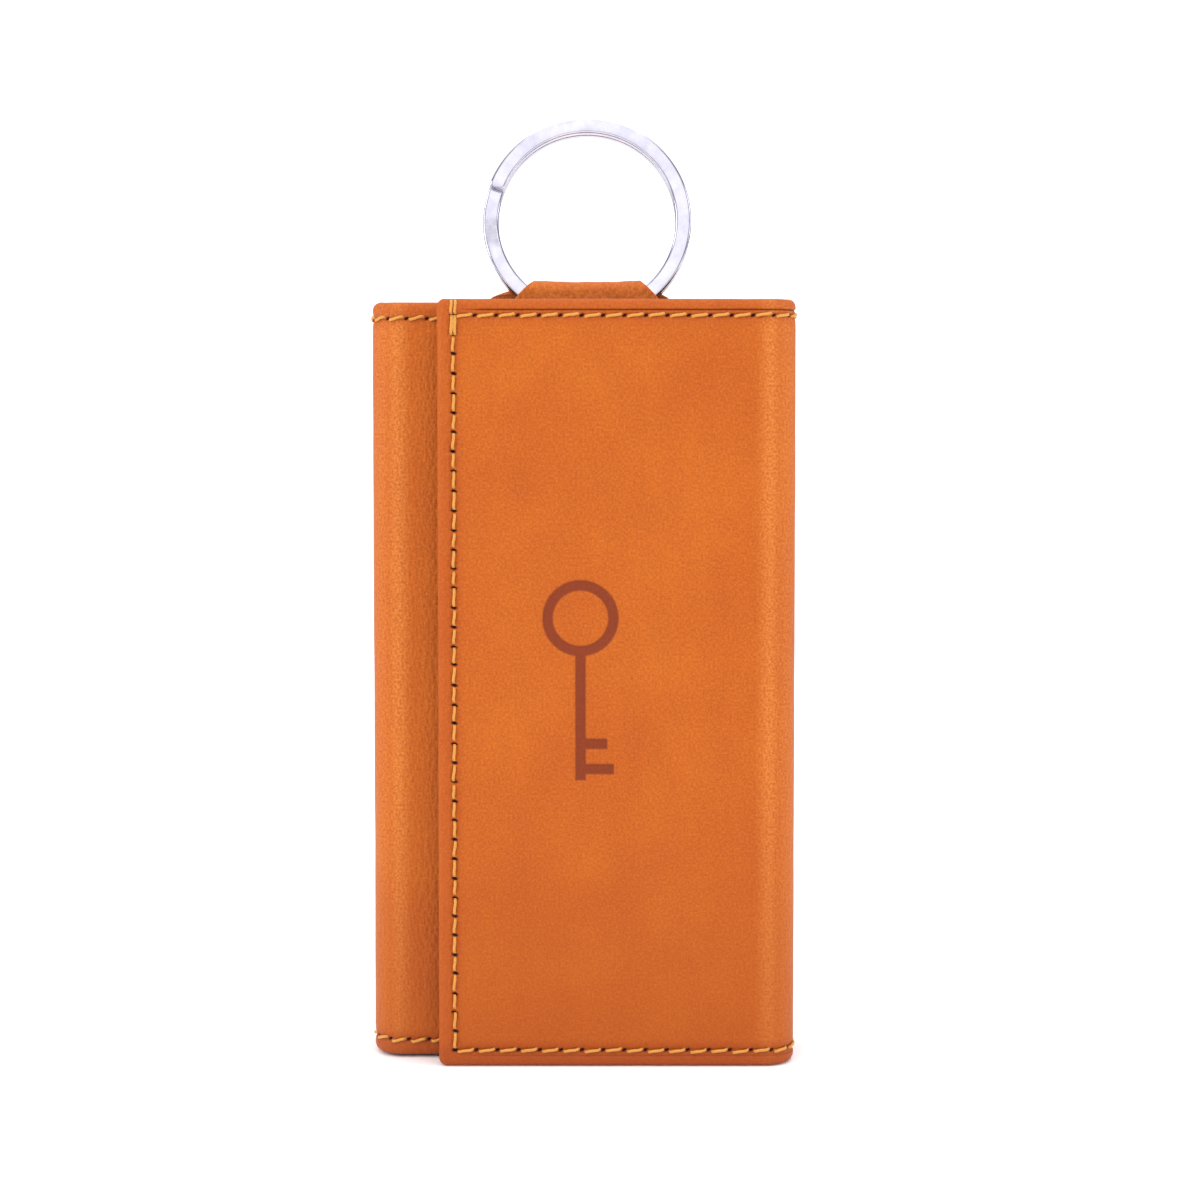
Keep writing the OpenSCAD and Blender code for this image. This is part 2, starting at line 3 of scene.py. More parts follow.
import bmesh
import bpy
import numpy as np
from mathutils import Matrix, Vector


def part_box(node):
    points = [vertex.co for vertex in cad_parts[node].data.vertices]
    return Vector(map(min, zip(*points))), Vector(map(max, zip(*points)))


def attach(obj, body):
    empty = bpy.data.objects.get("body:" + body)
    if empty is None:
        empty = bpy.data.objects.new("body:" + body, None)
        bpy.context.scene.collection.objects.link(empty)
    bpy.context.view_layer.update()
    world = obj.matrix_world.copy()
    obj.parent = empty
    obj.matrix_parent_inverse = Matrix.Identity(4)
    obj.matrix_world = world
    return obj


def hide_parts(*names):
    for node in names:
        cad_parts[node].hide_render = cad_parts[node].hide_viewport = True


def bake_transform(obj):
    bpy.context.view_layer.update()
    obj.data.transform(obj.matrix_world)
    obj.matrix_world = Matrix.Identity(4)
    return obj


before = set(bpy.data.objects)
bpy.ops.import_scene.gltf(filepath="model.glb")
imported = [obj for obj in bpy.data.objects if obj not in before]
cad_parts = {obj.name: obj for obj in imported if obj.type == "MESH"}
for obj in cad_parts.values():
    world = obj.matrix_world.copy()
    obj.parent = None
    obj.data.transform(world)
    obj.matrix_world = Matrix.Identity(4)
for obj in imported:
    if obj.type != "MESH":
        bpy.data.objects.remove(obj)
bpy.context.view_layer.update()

# ---- Stiffening boards --------------------------------------------------------------
# Three sheets of grey-brown fibre board, 0.6 mm thick and cut with a knife. They lie loose
# between the outer leather and the lining of the back panel and of both flaps.

mm = 0.001


def linear(sheen):
    """A colour written as sRGB hex, turned to the linear values that shaders take."""
    parts = [int(sheen[i : i + 2], 16) / 255 for i in (1, 3, 5)]
    return [p / 12.92 if p <= 0.04045 else ((p + 0.055) / 1.055) ** 2.4 for p in parts] + [1.0]


def add(material, kind, sockets=None, **settings):
    """Adds a node. Its sockets take values or other nodes' outputs, and its settings are its own."""
    made = material.node_tree.nodes.new(kind)
    for name, value in settings.items():
        setattr(made, name, value)
    for name, value in (sockets or {}).items():
        if isinstance(value, bpy.types.NodeSocket):
            material.node_tree.links.new(value, made.inputs[name])
        else:
            made.inputs[name].default_value = value
    return made


def finish_for(name, **surface):
    """A new material and its shader, with the shader's own values set. An underscore is a space."""
    material = bpy.data.materials.new(name)
    material.use_nodes = True
    shader = material.node_tree.nodes["Principled BSDF"]
    for socket, value in surface.items():
        shader.inputs[socket.replace("_", " ")].default_value = value
    return material, shader


def coat(piece, material):
    """Gives a piece one material in place of any that it has."""
    piece.data.materials.clear()
    piece.data.materials.append(material)


# Fibre board is pressed pulp: flat and matt, with short fibres that catch a little light.
# Sockets 0, 6 and 7 of a mix node are its factor and the two colours that it mixes.
fibre_board, shader = finish_for("pressed_fibre_board", Roughness=0.9)
where = add(fibre_board, "ShaderNodeTexCoord")
fibre_length = 1.2 * mm
fibres = add(fibre_board, "ShaderNodeTexNoise", {
    "Vector": where.outputs["Object"], "Scale": 1 / fibre_length, "Detail": 6, "Roughness": 0.7})
shades = add(fibre_board, "ShaderNodeMix", {
    0: fibres.outputs["Fac"], 6: linear("#8E7B60"), 7: linear("#B09C7C")}, data_type="RGBA")
relief = add(fibre_board, "ShaderNodeBump", {
    "Height": fibres.outputs["Fac"], "Strength": 0.4, "Distance": 0.03 * mm})
fibre_board.node_tree.links.new(shades.outputs[2], shader.inputs["Base Color"])
fibre_board.node_tree.links.new(relief.outputs["Normal"], shader.inputs["Normal"])
for name in ("back_board", "front_flap_board", "left_flap_board"):
    coat(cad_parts[name], fibre_board)

# ---- Outer leather ------------------------------------------------------------------
# One hide wraps the case: 0.9 mm vegetable-tanned cowhide, glued over the boards. Its edges
# are skived to 0.4 mm, turned in over the boards by 7 mm, and sewn down.

skin = 0.9 * mm
board = 0.6 * mm
turn_in = 0.4 * mm
cover = skin + board + turn_in
lip_width = 7 * mm
corner_radius = 1.2 * mm
edge_round, edge_drop = 1.25 * mm, 0.85 * mm
stitch_from_edge = 2.45 * mm
seam_half, seam_deep = 0.6 * mm, 0.2 * mm
hole_pitch, hole_size, hole_deep = 3.15 * mm, 0.5 * mm, 0.42 * mm
crease_from_edge, crease_half, crease_deep = 1.63 * mm, 0.13 * mm, 0.24 * mm
press_deep = 0.24 * mm
uneven, uneven_size = 0.05 * mm, 17 * mm
back_low, back_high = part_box("back_cover")
right_low, right_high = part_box("right_spine_leather")
left_low, left_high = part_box("left_spine_leather")
front_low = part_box("front_flap_cover")[0]
flap_low, flap_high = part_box("left_flap_cover")
height = back_high.z
fold_radius = right_high.x - back_high.x
fold_length = fold_radius * math.pi / 2


class Panel:
    """One stretch of the case's wall, from a panel's end round a fold to the middle of a side wall.

    Places on it are along, the distance from the panel's end; up, the height; and deep, the
    distance in from the outer face. side is 1 on the right and -1 on the left, and inward is the
    way along Y from the panel's outer face into the case."""

    def __init__(self, start, face, side, inward, bottom, top, side_wall, free):
        self.start, self.face, self.side, self.inward = start, face, side, inward
        self.side_wall = side_wall
        self.bottom, self.top, self.free = bottom, top, free
        self.flat = right_high.x - fold_radius - side * start
        self.length = self.flat + fold_length + side_wall
        self.rng = np.random.default_rng(int(1000 * abs(start + face) / mm) % 9973)

    def place(self, along, up, deep):
        """Points in the case's frame."""
        turn = np.clip((along - self.flat) / fold_radius, 0, math.pi / 2)
        reach = fold_radius - deep
        past = np.maximum(along - self.flat - fold_length, 0)
        x = self.start + self.side * (np.minimum(along, self.flat) + reach * np.sin(turn))
        y = self.face + self.inward * (fold_radius - reach * np.cos(turn) + past)
        return np.stack(np.broadcast_arrays(x, y, up), axis=-1)

    def round_the_case(self, along):
        """The distance round the case from the middle of its back, negative towards the left."""
        on_back = right_high.x - fold_radius + fold_length + self.side_wall
        return self.side * (on_back + self.length - along if self.free else along)

    def edge(self, along, up):
        """The distance in from the nearest turned edge, round the free edge's corners too."""
        ends = np.minimum(up - self.bottom, self.top - up)
        if not self.free:
            return ends
        corner = corner_radius - np.hypot(corner_radius - along, corner_radius - ends)
        in_corner = (along < corner_radius) & (ends < corner_radius)
        return np.where(in_corner, corner, np.minimum(along, ends))

    def round_corners(self, along, up):
        """Moves places in the square corners of the free edge into round ones."""
        if not self.free:
            return along, up
        middle = (self.bottom + self.top) / 2
        ends = np.where(up < middle, up - self.bottom, self.top - up)
        a = np.clip(1 - along / corner_radius, 0, 1)
        b = np.clip(1 - ends / corner_radius, 0, 1)
        along = np.where(a > 0, corner_radius * (1 - a * np.sqrt(1 - b * b / 2)), along)
        ends = np.where(b > 0, corner_radius * (1 - b * np.sqrt(1 - a * a / 2)), ends)
        return along, np.where(up < middle, self.bottom + ends, self.top - ends)


middle_right = (right_low.y + right_high.y) / 2
middle_left = (left_low.y + left_high.y) / 2
panels = {
    "front_flap": Panel(front_low.x, front_low.y, 1, 1, 0, height, middle_right - right_low.y, True),
    "left_flap": Panel(flap_high.x, flap_low.y, -1, 1, flap_low.z, flap_high.z,
                       middle_left - left_low.y, True),
    "back_right": Panel(0, back_high.y, 1, -1, 0, height, right_high.y - middle_right, False),
    "back_left": Panel(0, back_high.y, -1, -1, 0, height, left_high.y - middle_left, False),
}


def lines(low, high, pitch, extra=()):
    """Grid lines from low to high, no farther apart than pitch, that pass through all the extra ones."""
    keep = [low]
    for line in sorted(set(round(v, 7) for v in extra)) + [high]:
        if keep[-1] + 0.07 * mm < line <= high and (line == high or line < high - 0.07 * mm):
            count = max(1, math.ceil((line - keep[-1]) / pitch - 0.05))
            keep += list(np.linspace(keep[-1], line, count + 1)[1:])
        elif line == high:
            keep[-1] = high
    return np.array(keep)


def shell(name, panel, levels, filled, shape, pitch, extra_along, extra_up):
    """A closed skin over the filled cells of a grid laid over a panel.

    levels are the depths between the grid's layers, filled(layer, along, up, edge) says which
    cells of a layer are leather, and shape(along, up, deep, edge) moves the grid's places."""
    s = lines(0, panel.length, pitch, extra_along)
    z = lines(panel.bottom, panel.top, pitch, extra_up)
    mid_s, mid_z = np.meshgrid((s[1:] + s[:-1]) / 2, (z[1:] + z[:-1]) / 2, indexing="ij")
    flat_edge = np.minimum(mid_z - panel.bottom, panel.top - mid_z)
    flat_edge = np.minimum(flat_edge, mid_s) if panel.free else flat_edge
    count = len(levels) - 1
    full = np.zeros((len(s) + 1, len(z) + 1, count + 2), bool)
    for k in range(count):
        full[1:-1, 1:-1, k + 1] = filled(k, flat_edge)
    number = np.arange(len(s) * len(z) * len(levels)).reshape(len(s), len(z), len(levels))
    faces = []
    for axis in range(3):
        ahead = np.roll(full, -1, axis)
        for solid, flip in ((full & ~ahead, False), (~full & ahead, True)):
            i, j, k = np.nonzero(solid)
            corner = np.stack([i, j, k], 1) - 1
            corner[:, axis] += 1
            u, v = [n for n in range(3) if n != axis]
            ring = []
            for a, b in ((0, 0), (1, 0), (1, 1), (0, 1)):
                c = corner.copy()
                c[:, u] += a
                c[:, v] += b
                ring.append(number[c[:, 0], c[:, 1], c[:, 2]])
            faces.append(np.stack(ring[::-1] if flip != (axis == 1) else ring, 1))
    faces = np.concatenate(faces)
    used, faces = np.unique(faces, return_inverse=True)
    faces = faces.reshape(-1, 4)
    i, j, k = np.unravel_index(used, number.shape)
    along, up, deep = s[i], z[j], np.asarray(levels)[k]
    marks = {"unrolled": np.stack([panel.round_the_case(along), up, deep], 1)}
    along, up, deep, more = shape(along, up, deep)
    marks.update(more)
    places = panel.place(along, up, deep)
    mesh = bpy.data.meshes.new(name)
    if panel.side * panel.inward < 0:
        faces = faces[:, ::-1]
    mesh.from_pydata(places.tolist(), [], faces.tolist())
    for mark, values in marks.items():
        kind = "FLOAT_VECTOR" if values.ndim == 2 else "FLOAT"
        field = mesh.attributes.new(mark, kind, "POINT")
        field.data.foreach_set("vector" if values.ndim == 2 else "value", values.astype(np.float32).ravel())
    mesh.shade_smooth()
    mesh.set_sharp_from_angle(angle=math.radians(62))
    piece = bpy.data.objects.new(name, mesh)
    bpy.context.scene.collection.objects.link(piece)
    return piece


def row_holes(panel):
    """Where the awl went through: two rows across the panel and round its fold, and one down its free edge.

    Each hole is (along, up, way), way being the direction that its row runs in."""
    if panel.free:
        count = round((panel.length - stitch_from_edge) / hole_pitch + 0.5)
        step = (panel.length - stitch_from_edge) / (count - 0.5)
        across = stitch_from_edge + step * np.arange(count + 1)
    else:
        count = round(panel.length / hole_pitch)
        first = -0.5 if panel.side > 0 else 0.5
        across = panel.length / count * np.arange(first, count)
    holes = []
    for up in (panel.bottom + stitch_from_edge, panel.top - stitch_from_edge):
        holes.append([(a, up, 0) for a in across])
    if panel.free:
        tall = panel.top - panel.bottom - 2 * stitch_from_edge
        count = round(tall / (hole_pitch * 0.93))
        ups = panel.bottom + stitch_from_edge + np.arange(count + 1) * tall / count
        ups[1:-1] += panel.rng.normal(0, 0.11 * mm, count - 1)
        wander = panel.rng.normal(0, 0.05 * mm, count + 1)
        holes.append([(stitch_from_edge + w, u, 1) for u, w in zip(ups, wander)])
    return holes


def near_holes(panel, along, up, size):
    """1 at a stitch hole, falling to 0 over the given size."""
    total = np.zeros(len(along))
    for row in row_holes(panel):
        for a, u, way in row:
            close = (np.abs(along - a) < 3 * size) & (np.abs(up - u) < 3 * size)
            if close.any():
                da, du = along[close] - a, up[close] - u
                lean = (0.5 if way == 0 else 0.2) * panel.side
                short, long = (du + lean * da, da - lean * du) if way else (du - lean * da, da + lean * du)
                spot = np.exp(-((short / (0.5 * size)) ** 2) - (long / size) ** 2)
                total[close] = np.maximum(total[close], spot)
    return total


def swell(along, up, seed, size):
    """Slow unevenness between -1 and 1, as in a hide: a few sine waves in scattered directions."""
    rng = np.random.default_rng(seed)
    total = np.zeros(len(along))
    for turn in range(7):
        angle, phase, scale = rng.uniform(0, math.pi), rng.uniform(0, 6.28), size * rng.uniform(0.6, 1.9)
        total += np.sin((along * math.cos(angle) + up * math.sin(angle)) * 6.28 / scale + phase) / 7
    return total


# The pressed key stands upright on the front flap: its middle, and half its height and width.
key_along = -front_low.x - 0.3 * mm
key_up = 58.2 * mm
key_tall = 15 * mm
key_wide = 5.7 * mm


def within(value, low, high):
    """How far inside two bounds a value is, in metres."""
    return np.minimum(value - low, high - value)


def key_mark(along, up):
    """How far inside the outline of the key a place is: a ring, a stem and two teeth."""
    x, y = along - key_along, up - key_up
    bow_up, hole_r, stem_half = 9.3 * mm, 4.1 * mm, 0.8 * mm
    stem_top = bow_up - key_wide + 0.6 * mm
    marks = [within(np.hypot(x, y - bow_up), hole_r, key_wide)]
    marks.append(np.minimum(stem_half - np.abs(x), within(y, -key_tall, stem_top)))
    for low, high, reach in ((-14.1 * mm, -12.5 * mm, 5 * mm), (-10.3 * mm, -8.7 * mm, 4 * mm)):
        marks.append(np.minimum(within(x, -0.5 * mm, reach), within(y, low, high)))
    return np.max(marks, axis=0)


def leather_shape(panel):
    """How the outer leather departs from flat: rounded edges, a crease, stitch dips and a pressed key."""

    def shape(along, up, deep):
        """Moves the grid's places, and marks them for the material."""
        along, up = panel.round_corners(along, up)
        edge = panel.edge(along, up)
        outer = deep < 0.1 * mm
        inner_skin = deep > skin + board + 0.1 * mm
        holes = near_holes(panel, along, up, hole_size)
        nose = np.clip(1 - edge / edge_round, 0, 1)
        curl = edge_drop * (1 - np.sqrt(1 - nose * nose * 0.999))
        ends = np.minimum(up - panel.bottom, panel.top - up)
        middle = (panel.top + panel.bottom) / 2
        weight = np.where(up > middle, 1, 0.45) * (ends <= edge + 1e-6)
        weight = weight * (0.2 if panel.side < 0 else np.clip(along / (5 * mm) - 0.4, 0, 1))
        crease = weight * np.exp(-((ends - crease_from_edge) / crease_half) ** 2)
        groove = seam_deep * np.exp(-((edge - stitch_from_edge) / seam_half) ** 2)
        sink = curl + crease_deep * crease + groove + hole_deep * holes
        sink += uneven * (1 + swell(panel.round_the_case(along), up, 3, uneven_size))
        pressed = np.zeros(len(along))
        if panel is panels["front_flap"]:
            pressed = np.clip(key_mark(along, up) / (0.3 * mm) + 0.5, 0, 1)
            sink += press_deep * pressed
        moved = np.where(outer, sink, deep - 0.45 * mm * nose ** 2 * inner_skin)
        turn = np.clip((along - panel.flat) / fold_length, 0, 1)
        # Painted highlight: strongest on the shoulder where the fold begins, weaker round the fold.
        shoulder = np.exp(-(((along - panel.flat - 0.4 * mm) / (1.5 * mm)) ** 2))
        bent = np.maximum(0.6 * np.sin(math.pi * turn), shoulder)
        fray = 0.05 * mm * swell(along * 3, up * 3, 8, 9 * mm) * nose
        up = up - np.where(ends <= edge + 1e-6, np.sign(up - middle), 0) * (np.abs(fray) + 0.02 * mm)
        marks = {"hole": holes, "bent": bent, "from_edge": edge / mm, "pressed": pressed, "crease": crease}
        return along, up, moved, marks

    return shape


def leather_filled(layer, edge):
    """The skin lies everywhere, its turned-in edge along the free edges, and board between them."""
    return edge < (lip_width, skin, lip_width)[layer] if layer else edge > -1


def hole_lines(panel, way):
    """Grid lines that give each stitch hole its own few."""
    found = []
    for row in row_holes(panel):
        for a, u, w in row:
            if w == way:
                found += [(a, u)[way] + d * mm for d in (-0.42, -0.2, 0, 0.2, 0.42)]
    return found


edge_lines = [d * mm for d in (0.1, 0.25, 0.45, 0.7, 0.9, 1.15, 1.35, 1.47, 1.55, 1.63, 1.71, 1.83, 2.1,
                               2.45, 2.8, 3.2, 3.8, 5, 7)]
parts = {}
for name, panel in panels.items():
    ends = [panel.bottom + d for d in edge_lines] + [panel.top - d for d in edge_lines]
    alongs = hole_lines(panel, 0) + (edge_lines if panel.free else [])
    ups = ends + (hole_lines(panel, 1) if panel.free else [])
    if name == "front_flap":
        # The pressed key has a finer grid, so that its outline is crisp.
        alongs = [a for a in alongs if abs(a - key_along) > 6 * mm]
        alongs += list(key_along + np.arange(-6, 6.01, 0.17) * mm)
        ups = [u for u in ups if abs(u - key_up) > 15.5 * mm]
        ups += list(key_up + np.arange(-15.6, 15.61, 0.17) * mm)
    parts[name] = shell(f"{name}_leather", panel, (0, skin, skin + board, cover), leather_filled,
                        leather_shape(panel), 0.62 * mm, alongs, ups)


def bend(piece, name):
    """Bakes a piece's placement into its mesh; name is not used."""
    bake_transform(piece)


# Vegetable-tanned cowhide: a warm tan, waxed but not shiny, mottled in soft clouds, with fine
# pores that run in short lines. A painted highlight, flecked by the grain, makes it paler along the
# shoulders of its folds, and painted shade darkens its creases, its holes, its lower end and its bottom edge.
tan_leather, shader = finish_for("vegetable_tanned_cowhide", Roughness=0.5, Specular_IOR_Level=0.2)
unrolled = add(tan_leather, "ShaderNodeAttribute", attribute_name="unrolled").outputs["Vector"]
cloud_size, streak_size, pore_size, grain_size = 19 * mm, 5 * mm, 0.5 * mm, 0.36 * mm
stretched = add(tan_leather, "ShaderNodeMapping", {"Vector": unrolled, "Scale": (1, 0.45, 1)})
clouds = add(tan_leather, "ShaderNodeTexNoise", {
    "Vector": unrolled, "Scale": 1 / cloud_size, "Detail": 5, "Roughness": 0.55})
streaks = add(tan_leather, "ShaderNodeTexNoise", {
    "Vector": stretched.outputs["Vector"], "Scale": 1 / streak_size, "Detail": 7, "Roughness": 0.65})
pores = add(tan_leather, "ShaderNodeTexVoronoi", {
    "Vector": stretched.outputs["Vector"], "Scale": 1 / pore_size, "Randomness": 1.0}, feature="F1")
grain = add(tan_leather, "ShaderNodeTexNoise", {
    "Vector": unrolled, "Scale": 1 / grain_size, "Detail": 4, "Roughness": 0.6})
stored = {mark: add(tan_leather, "ShaderNodeAttribute", attribute_name=mark).outputs["Fac"]
          for mark in ("bent", "from_edge", "pressed", "crease", "hole")}
lower_end = add(tan_leather, "ShaderNodeSeparateXYZ", {"Vector": unrolled}).outputs["Y"]
highlight_strength = add(tan_leather, "ShaderNodeMapRange", {
    "Value": stored["bent"], "From Min": 0.1, "From Max": 1, "To Min": 0, "To Max": 0.55})
highlight_flecks = add(tan_leather, "ShaderNodeMapRange", {
    "Value": grain.outputs["Fac"], "From Min": 0.4, "From Max": 0.62, "To Min": 0.5, "To Max": 1})
flecked_highlight = add(tan_leather, "ShaderNodeMath", {
    0: highlight_strength.outputs["Result"], 1: highlight_flecks.outputs["Result"]}, operation="MULTIPLY")
# Each tint: what it follows, the two values it runs between, its strength at each, its colour.
tints = (
    (clouds.outputs["Fac"], 0.3, 0.7, 0, 1, "#BC610F"),
    (streaks.outputs["Fac"], 0.35, 0.75, 0, 0.4, "#A84A0E"),
    # Painted highlight along the folds, flecked by the grain.
    (flecked_highlight.outputs[0], 0, 1, 0, 1, "#DA8840"),
    (pores.outputs["Distance"], 0.12, 0.3, 0.12, 0, "#7E3512"),
    (grain.outputs["Fac"], 0.35, 0.55, 0.45, 0, "#93400E"),
    (grain.outputs["Fac"], 0.5, 0.68, 0, 0.2, "#D9833A"),
    # Painted shade, darker towards the lower end.
    (lower_end, 0, 45 * mm, 0.5, 0, "#98440F"),
    # Painted shade along the bottom edge.
    (lower_end, 2 * mm, 4 * mm, 0.4, 0, "#7E3512"),
    (stored["from_edge"], 2.6, 4.2, 0.35, 0, "#A04412"),
    (stored["pressed"], 0.2, 0.9, 0, 0.8, "#6B2411"),
    # Painted shadow in the crease under the top edge.
    (stored["crease"], 0.15, 0.9, 0, 0.75, "#5E260B"),
    # Painted shade in the awl holes, near black.
    (stored["hole"], 0.2, 0.6, 0, 1, "#260C05"),
)
hue = linear("#B0520A")
for follows, low, high, at_low, at_high, tint in tints:
    strength = add(tan_leather, "ShaderNodeMapRange", {
        "Value": follows, "From Min": low, "From Max": high, "To Min": at_low, "To Max": at_high})
    stained = add(tan_leather, "ShaderNodeMix", {
        0: strength.outputs["Result"], 6: hue, 7: linear(tint)}, data_type="RGBA")
    hue = stained.outputs[2]
tan_leather.node_tree.links.new(hue, shader.inputs["Base Color"])
coarse = add(tan_leather, "ShaderNodeBump", {
    "Height": streaks.outputs["Fac"], "Strength": 0.35, "Distance": 0.12 * mm})
pitted = add(tan_leather, "ShaderNodeBump", {
    "Height": pores.outputs["Distance"], "Strength": 0.7, "Distance": 0.16 * mm,
    "Normal": coarse.outputs["Normal"]})
fine = add(tan_leather, "ShaderNodeBump", {
    "Height": grain.outputs["Fac"], "Strength": 0.75, "Distance": 0.11 * mm,
    "Normal": pitted.outputs["Normal"]})
tan_leather.node_tree.links.new(fine.outputs["Normal"], shader.inputs["Normal"])
shine = add(tan_leather, "ShaderNodeMapRange", {
    "Value": grain.outputs["Fac"], "From Min": 0.3, "From Max": 0.7, "To Min": 0.42, "To Max": 0.6})
tan_leather.node_tree.links.new(shine.outputs["Result"], shader.inputs["Roughness"])

covered = {
    "front_flap": ("front_flap_cover", "right_fold_leather", "right_spine_leather"),
    "left_flap": ("left_flap_cover", "left_fold_leather", "left_spine_leather"),
    "back_right": ("back_cover", "right_fold_leather", "right_spine_leather"),
    "back_left": ("back_cover", "left_fold_leather", "left_spine_leather"),
}
for name, piece in parts.items():
    coat(piece, tan_leather)
    bend(piece, name)
    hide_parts(*covered[name])

# ---- Lining -------------------------------------------------------------------------
# The inside is faced with thin brown pigskin, 1.1 mm with its glue and fleece, cut 1.5 mm short
# of the turned edges. It is glued over the boards and caught by the same stitching.

lining_inset, lining_round = 1.5 * mm, 0.5 * mm
inner = back_high.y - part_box("back_lining")[0].y


def lining_filled(layer, edge):
    """The lining fills the step inside the turned-in edge, and lies on top of the edge itself."""
    return edge > (lip_width, lining_inset)[layer]


def lining_shape(panel):
    """How the lining departs from flat: a thin rounded edge, stitch dips and slow unevenness."""

    def shape(along, up, deep):
        """Moves the grid's places, and marks them for the material."""
        edge = np.minimum(up - panel.bottom, panel.top - up)
        edge = np.minimum(edge, along) if panel.free else edge
        top = deep > inner - 0.1 * mm
        holes = near_holes(panel, along, up, 0.42 * mm)
        nose = np.clip(1 - (edge - lining_inset) / lining_round, 0, 1)
        groove = seam_deep / 2 * np.exp(-((edge - stitch_from_edge) / seam_half) ** 2)
        lower = 0.3 * mm * nose ** 2 + groove + 0.3 * mm * holes
        lower += 0.03 * mm * (1 + swell(panel.round_the_case(along), up, 11, 14 * mm))
        moved = np.where(top, deep - lower, deep)
        return along, up, moved, {"hole": holes}

    return shape


lining_leather, shader = finish_for("brown_pigskin_lining", Roughness=0.72, Specular_IOR_Level=0.3)
unrolled = add(lining_leather, "ShaderNodeAttribute", attribute_name="unrolled").outputs["Vector"]
bristle_pitch, cloud_size = 1.3 * mm, 12 * mm
clouds = add(lining_leather, "ShaderNodeTexNoise", {
    "Vector": unrolled, "Scale": 1 / cloud_size, "Detail": 6, "Roughness": 0.6})
# Pigskin has its bristle pores in threes: a scatter of small pits over a fine soft nap.
pits = add(lining_leather, "ShaderNodeTexVoronoi", {"Vector": unrolled, "Scale": 1 / bristle_pitch})
pierced = add(lining_leather, "ShaderNodeAttribute", attribute_name="hole")
hue = linear("#6A3D22")
for follows, low, high, at_low, at_high, tint in (
        (clouds.outputs["Fac"], 0.3, 0.7, 0, 1, "#84502E"),
        (pits.outputs["Distance"], 0.08, 0.2, 0.6, 0, "#3D2010"),
        # Painted shade in the awl holes, near black.
        (pierced.outputs["Fac"], 0.25, 0.8, 0, 0.9, "#241007")):
    strength = add(lining_leather, "ShaderNodeMapRange", {
        "Value": follows, "From Min": low, "From Max": high, "To Min": at_low, "To Max": at_high})
    stained = add(lining_leather, "ShaderNodeMix", {
        0: strength.outputs["Result"], 6: hue, 7: linear(tint)}, data_type="RGBA")
    hue = stained.outputs[2]
nap = add(lining_leather, "ShaderNodeBump", {
    "Height": pits.outputs["Distance"], "Strength": 0.5, "Distance": 0.08 * mm})
lining_leather.node_tree.links.new(hue, shader.inputs["Base Color"])
lining_leather.node_tree.links.new(nap.outputs["Normal"], shader.inputs["Normal"])
lined = {
    "front_flap": ("front_flap_lining", "right_fold_lining", "right_spine_lining"),
    "left_flap": ("left_flap_lining", "left_fold_lining", "left_spine_lining"),
    "back_right": ("back_lining", "right_fold_lining", "right_spine_lining"),
    "back_left": ("back_lining", "left_fold_lining", "left_spine_lining"),
}
for name, panel in panels.items():
    ends = [lining_inset + d * mm for d in (0, 0.15, 0.3, 0.5, 0.75, 0.95, 1.2, 1.6, 2.4)] + [lip_width]
    ups = [panel.bottom + d for d in ends] + [panel.top - d for d in ends]
    alongs = hole_lines(panel, 0) + (ends if panel.free else [])
    if panel.free:
        ups += hole_lines(panel, 1)
    piece = shell(f"{name}_lining_skin", panel, (skin + board, cover, inner), lining_filled,
                  lining_shape(panel), 0.8 * mm, alongs, ups)
    coat(piece, lining_leather)
    bend(piece, name)
    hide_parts(*lined[name])

# ---- Stitching ----------------------------------------------------------------------
# Waxed mustard thread, 0.5 mm thick and laid up from three plies, sewn by hand with two needles.
# Each stitch leans a little and dives into an awl hole at both ends, on both faces.

thread = 0.5 * mm


def sew(name, panel, ways, depth, out):
    """Stitches between neighbouring holes as one mesh.

    ways are lists of (start, end, lift), lift being how far the thread's middle stands off the
    face at depth. out is -1 for an outer face and 1 for an inner one."""
    turns, ring, steps = 2.6, 12, 15
    dive = 0.42 * mm
    t = np.linspace(0, 1, steps)
    points, faces = [], []
    for start, end, lift in ways:
        start, end = np.array(start), np.array(end)
        run = end - start
        length = np.hypot(*run)
        tangent = run / length
        normal = np.array([-tangent[1], tangent[0]])
        arch = np.clip(np.minimum(t, 1 - t) * length / dive, 0, 1)
        arch = arch * arch * (3 - 2 * arch)
        sag = 0.06 * mm * np.sin(math.pi * t)
        high = (lift - sag) * arch - 0.75 * thread * (1 - arch)
        centre = start + t[:, None] * run
        centre += normal * (0.05 * mm * np.sin(6.28 * t))[:, None]
        angle = np.linspace(0, 2 * math.pi, ring, endpoint=False)
        twist = 2 * math.pi * turns * t[:, None]
        radius = thread / 2 * (0.86 + 0.14 * np.cos(3 * (angle + twist)))
        across = radius * np.cos(angle)
        above = radius * np.sin(angle) * 0.85
        plane = centre[:, None, :] + normal * across[..., None]
        deep = depth + out * (high[:, None] + above)
        base = len(points)
        places = panel.place(plane[..., 0], plane[..., 1], deep).reshape(-1, 3)
        points += places.tolist()
        for i in range(steps - 1):
            for k in range(ring):
                n = (k + 1) % ring
                faces.append((base + i * ring + k, base + i * ring + n,
                              base + (i + 1) * ring + n, base + (i + 1) * ring + k))
        faces.append(tuple(base + k for k in range(ring))[::-1])
        faces.append(tuple(base + (steps - 1) * ring + k for k in range(ring)))
    mesh = bpy.data.meshes.new(name)
    mesh.from_pydata(points, [], faces)
    box = bmesh.new()
    box.from_mesh(mesh)
    bmesh.ops.recalc_face_normals(box, faces=box.faces)
    box.to_mesh(mesh)
    box.free()
    mesh.shade_smooth()
    piece = bpy.data.objects.new(name, mesh)
    bpy.context.scene.collection.objects.link(piece)
    return piece


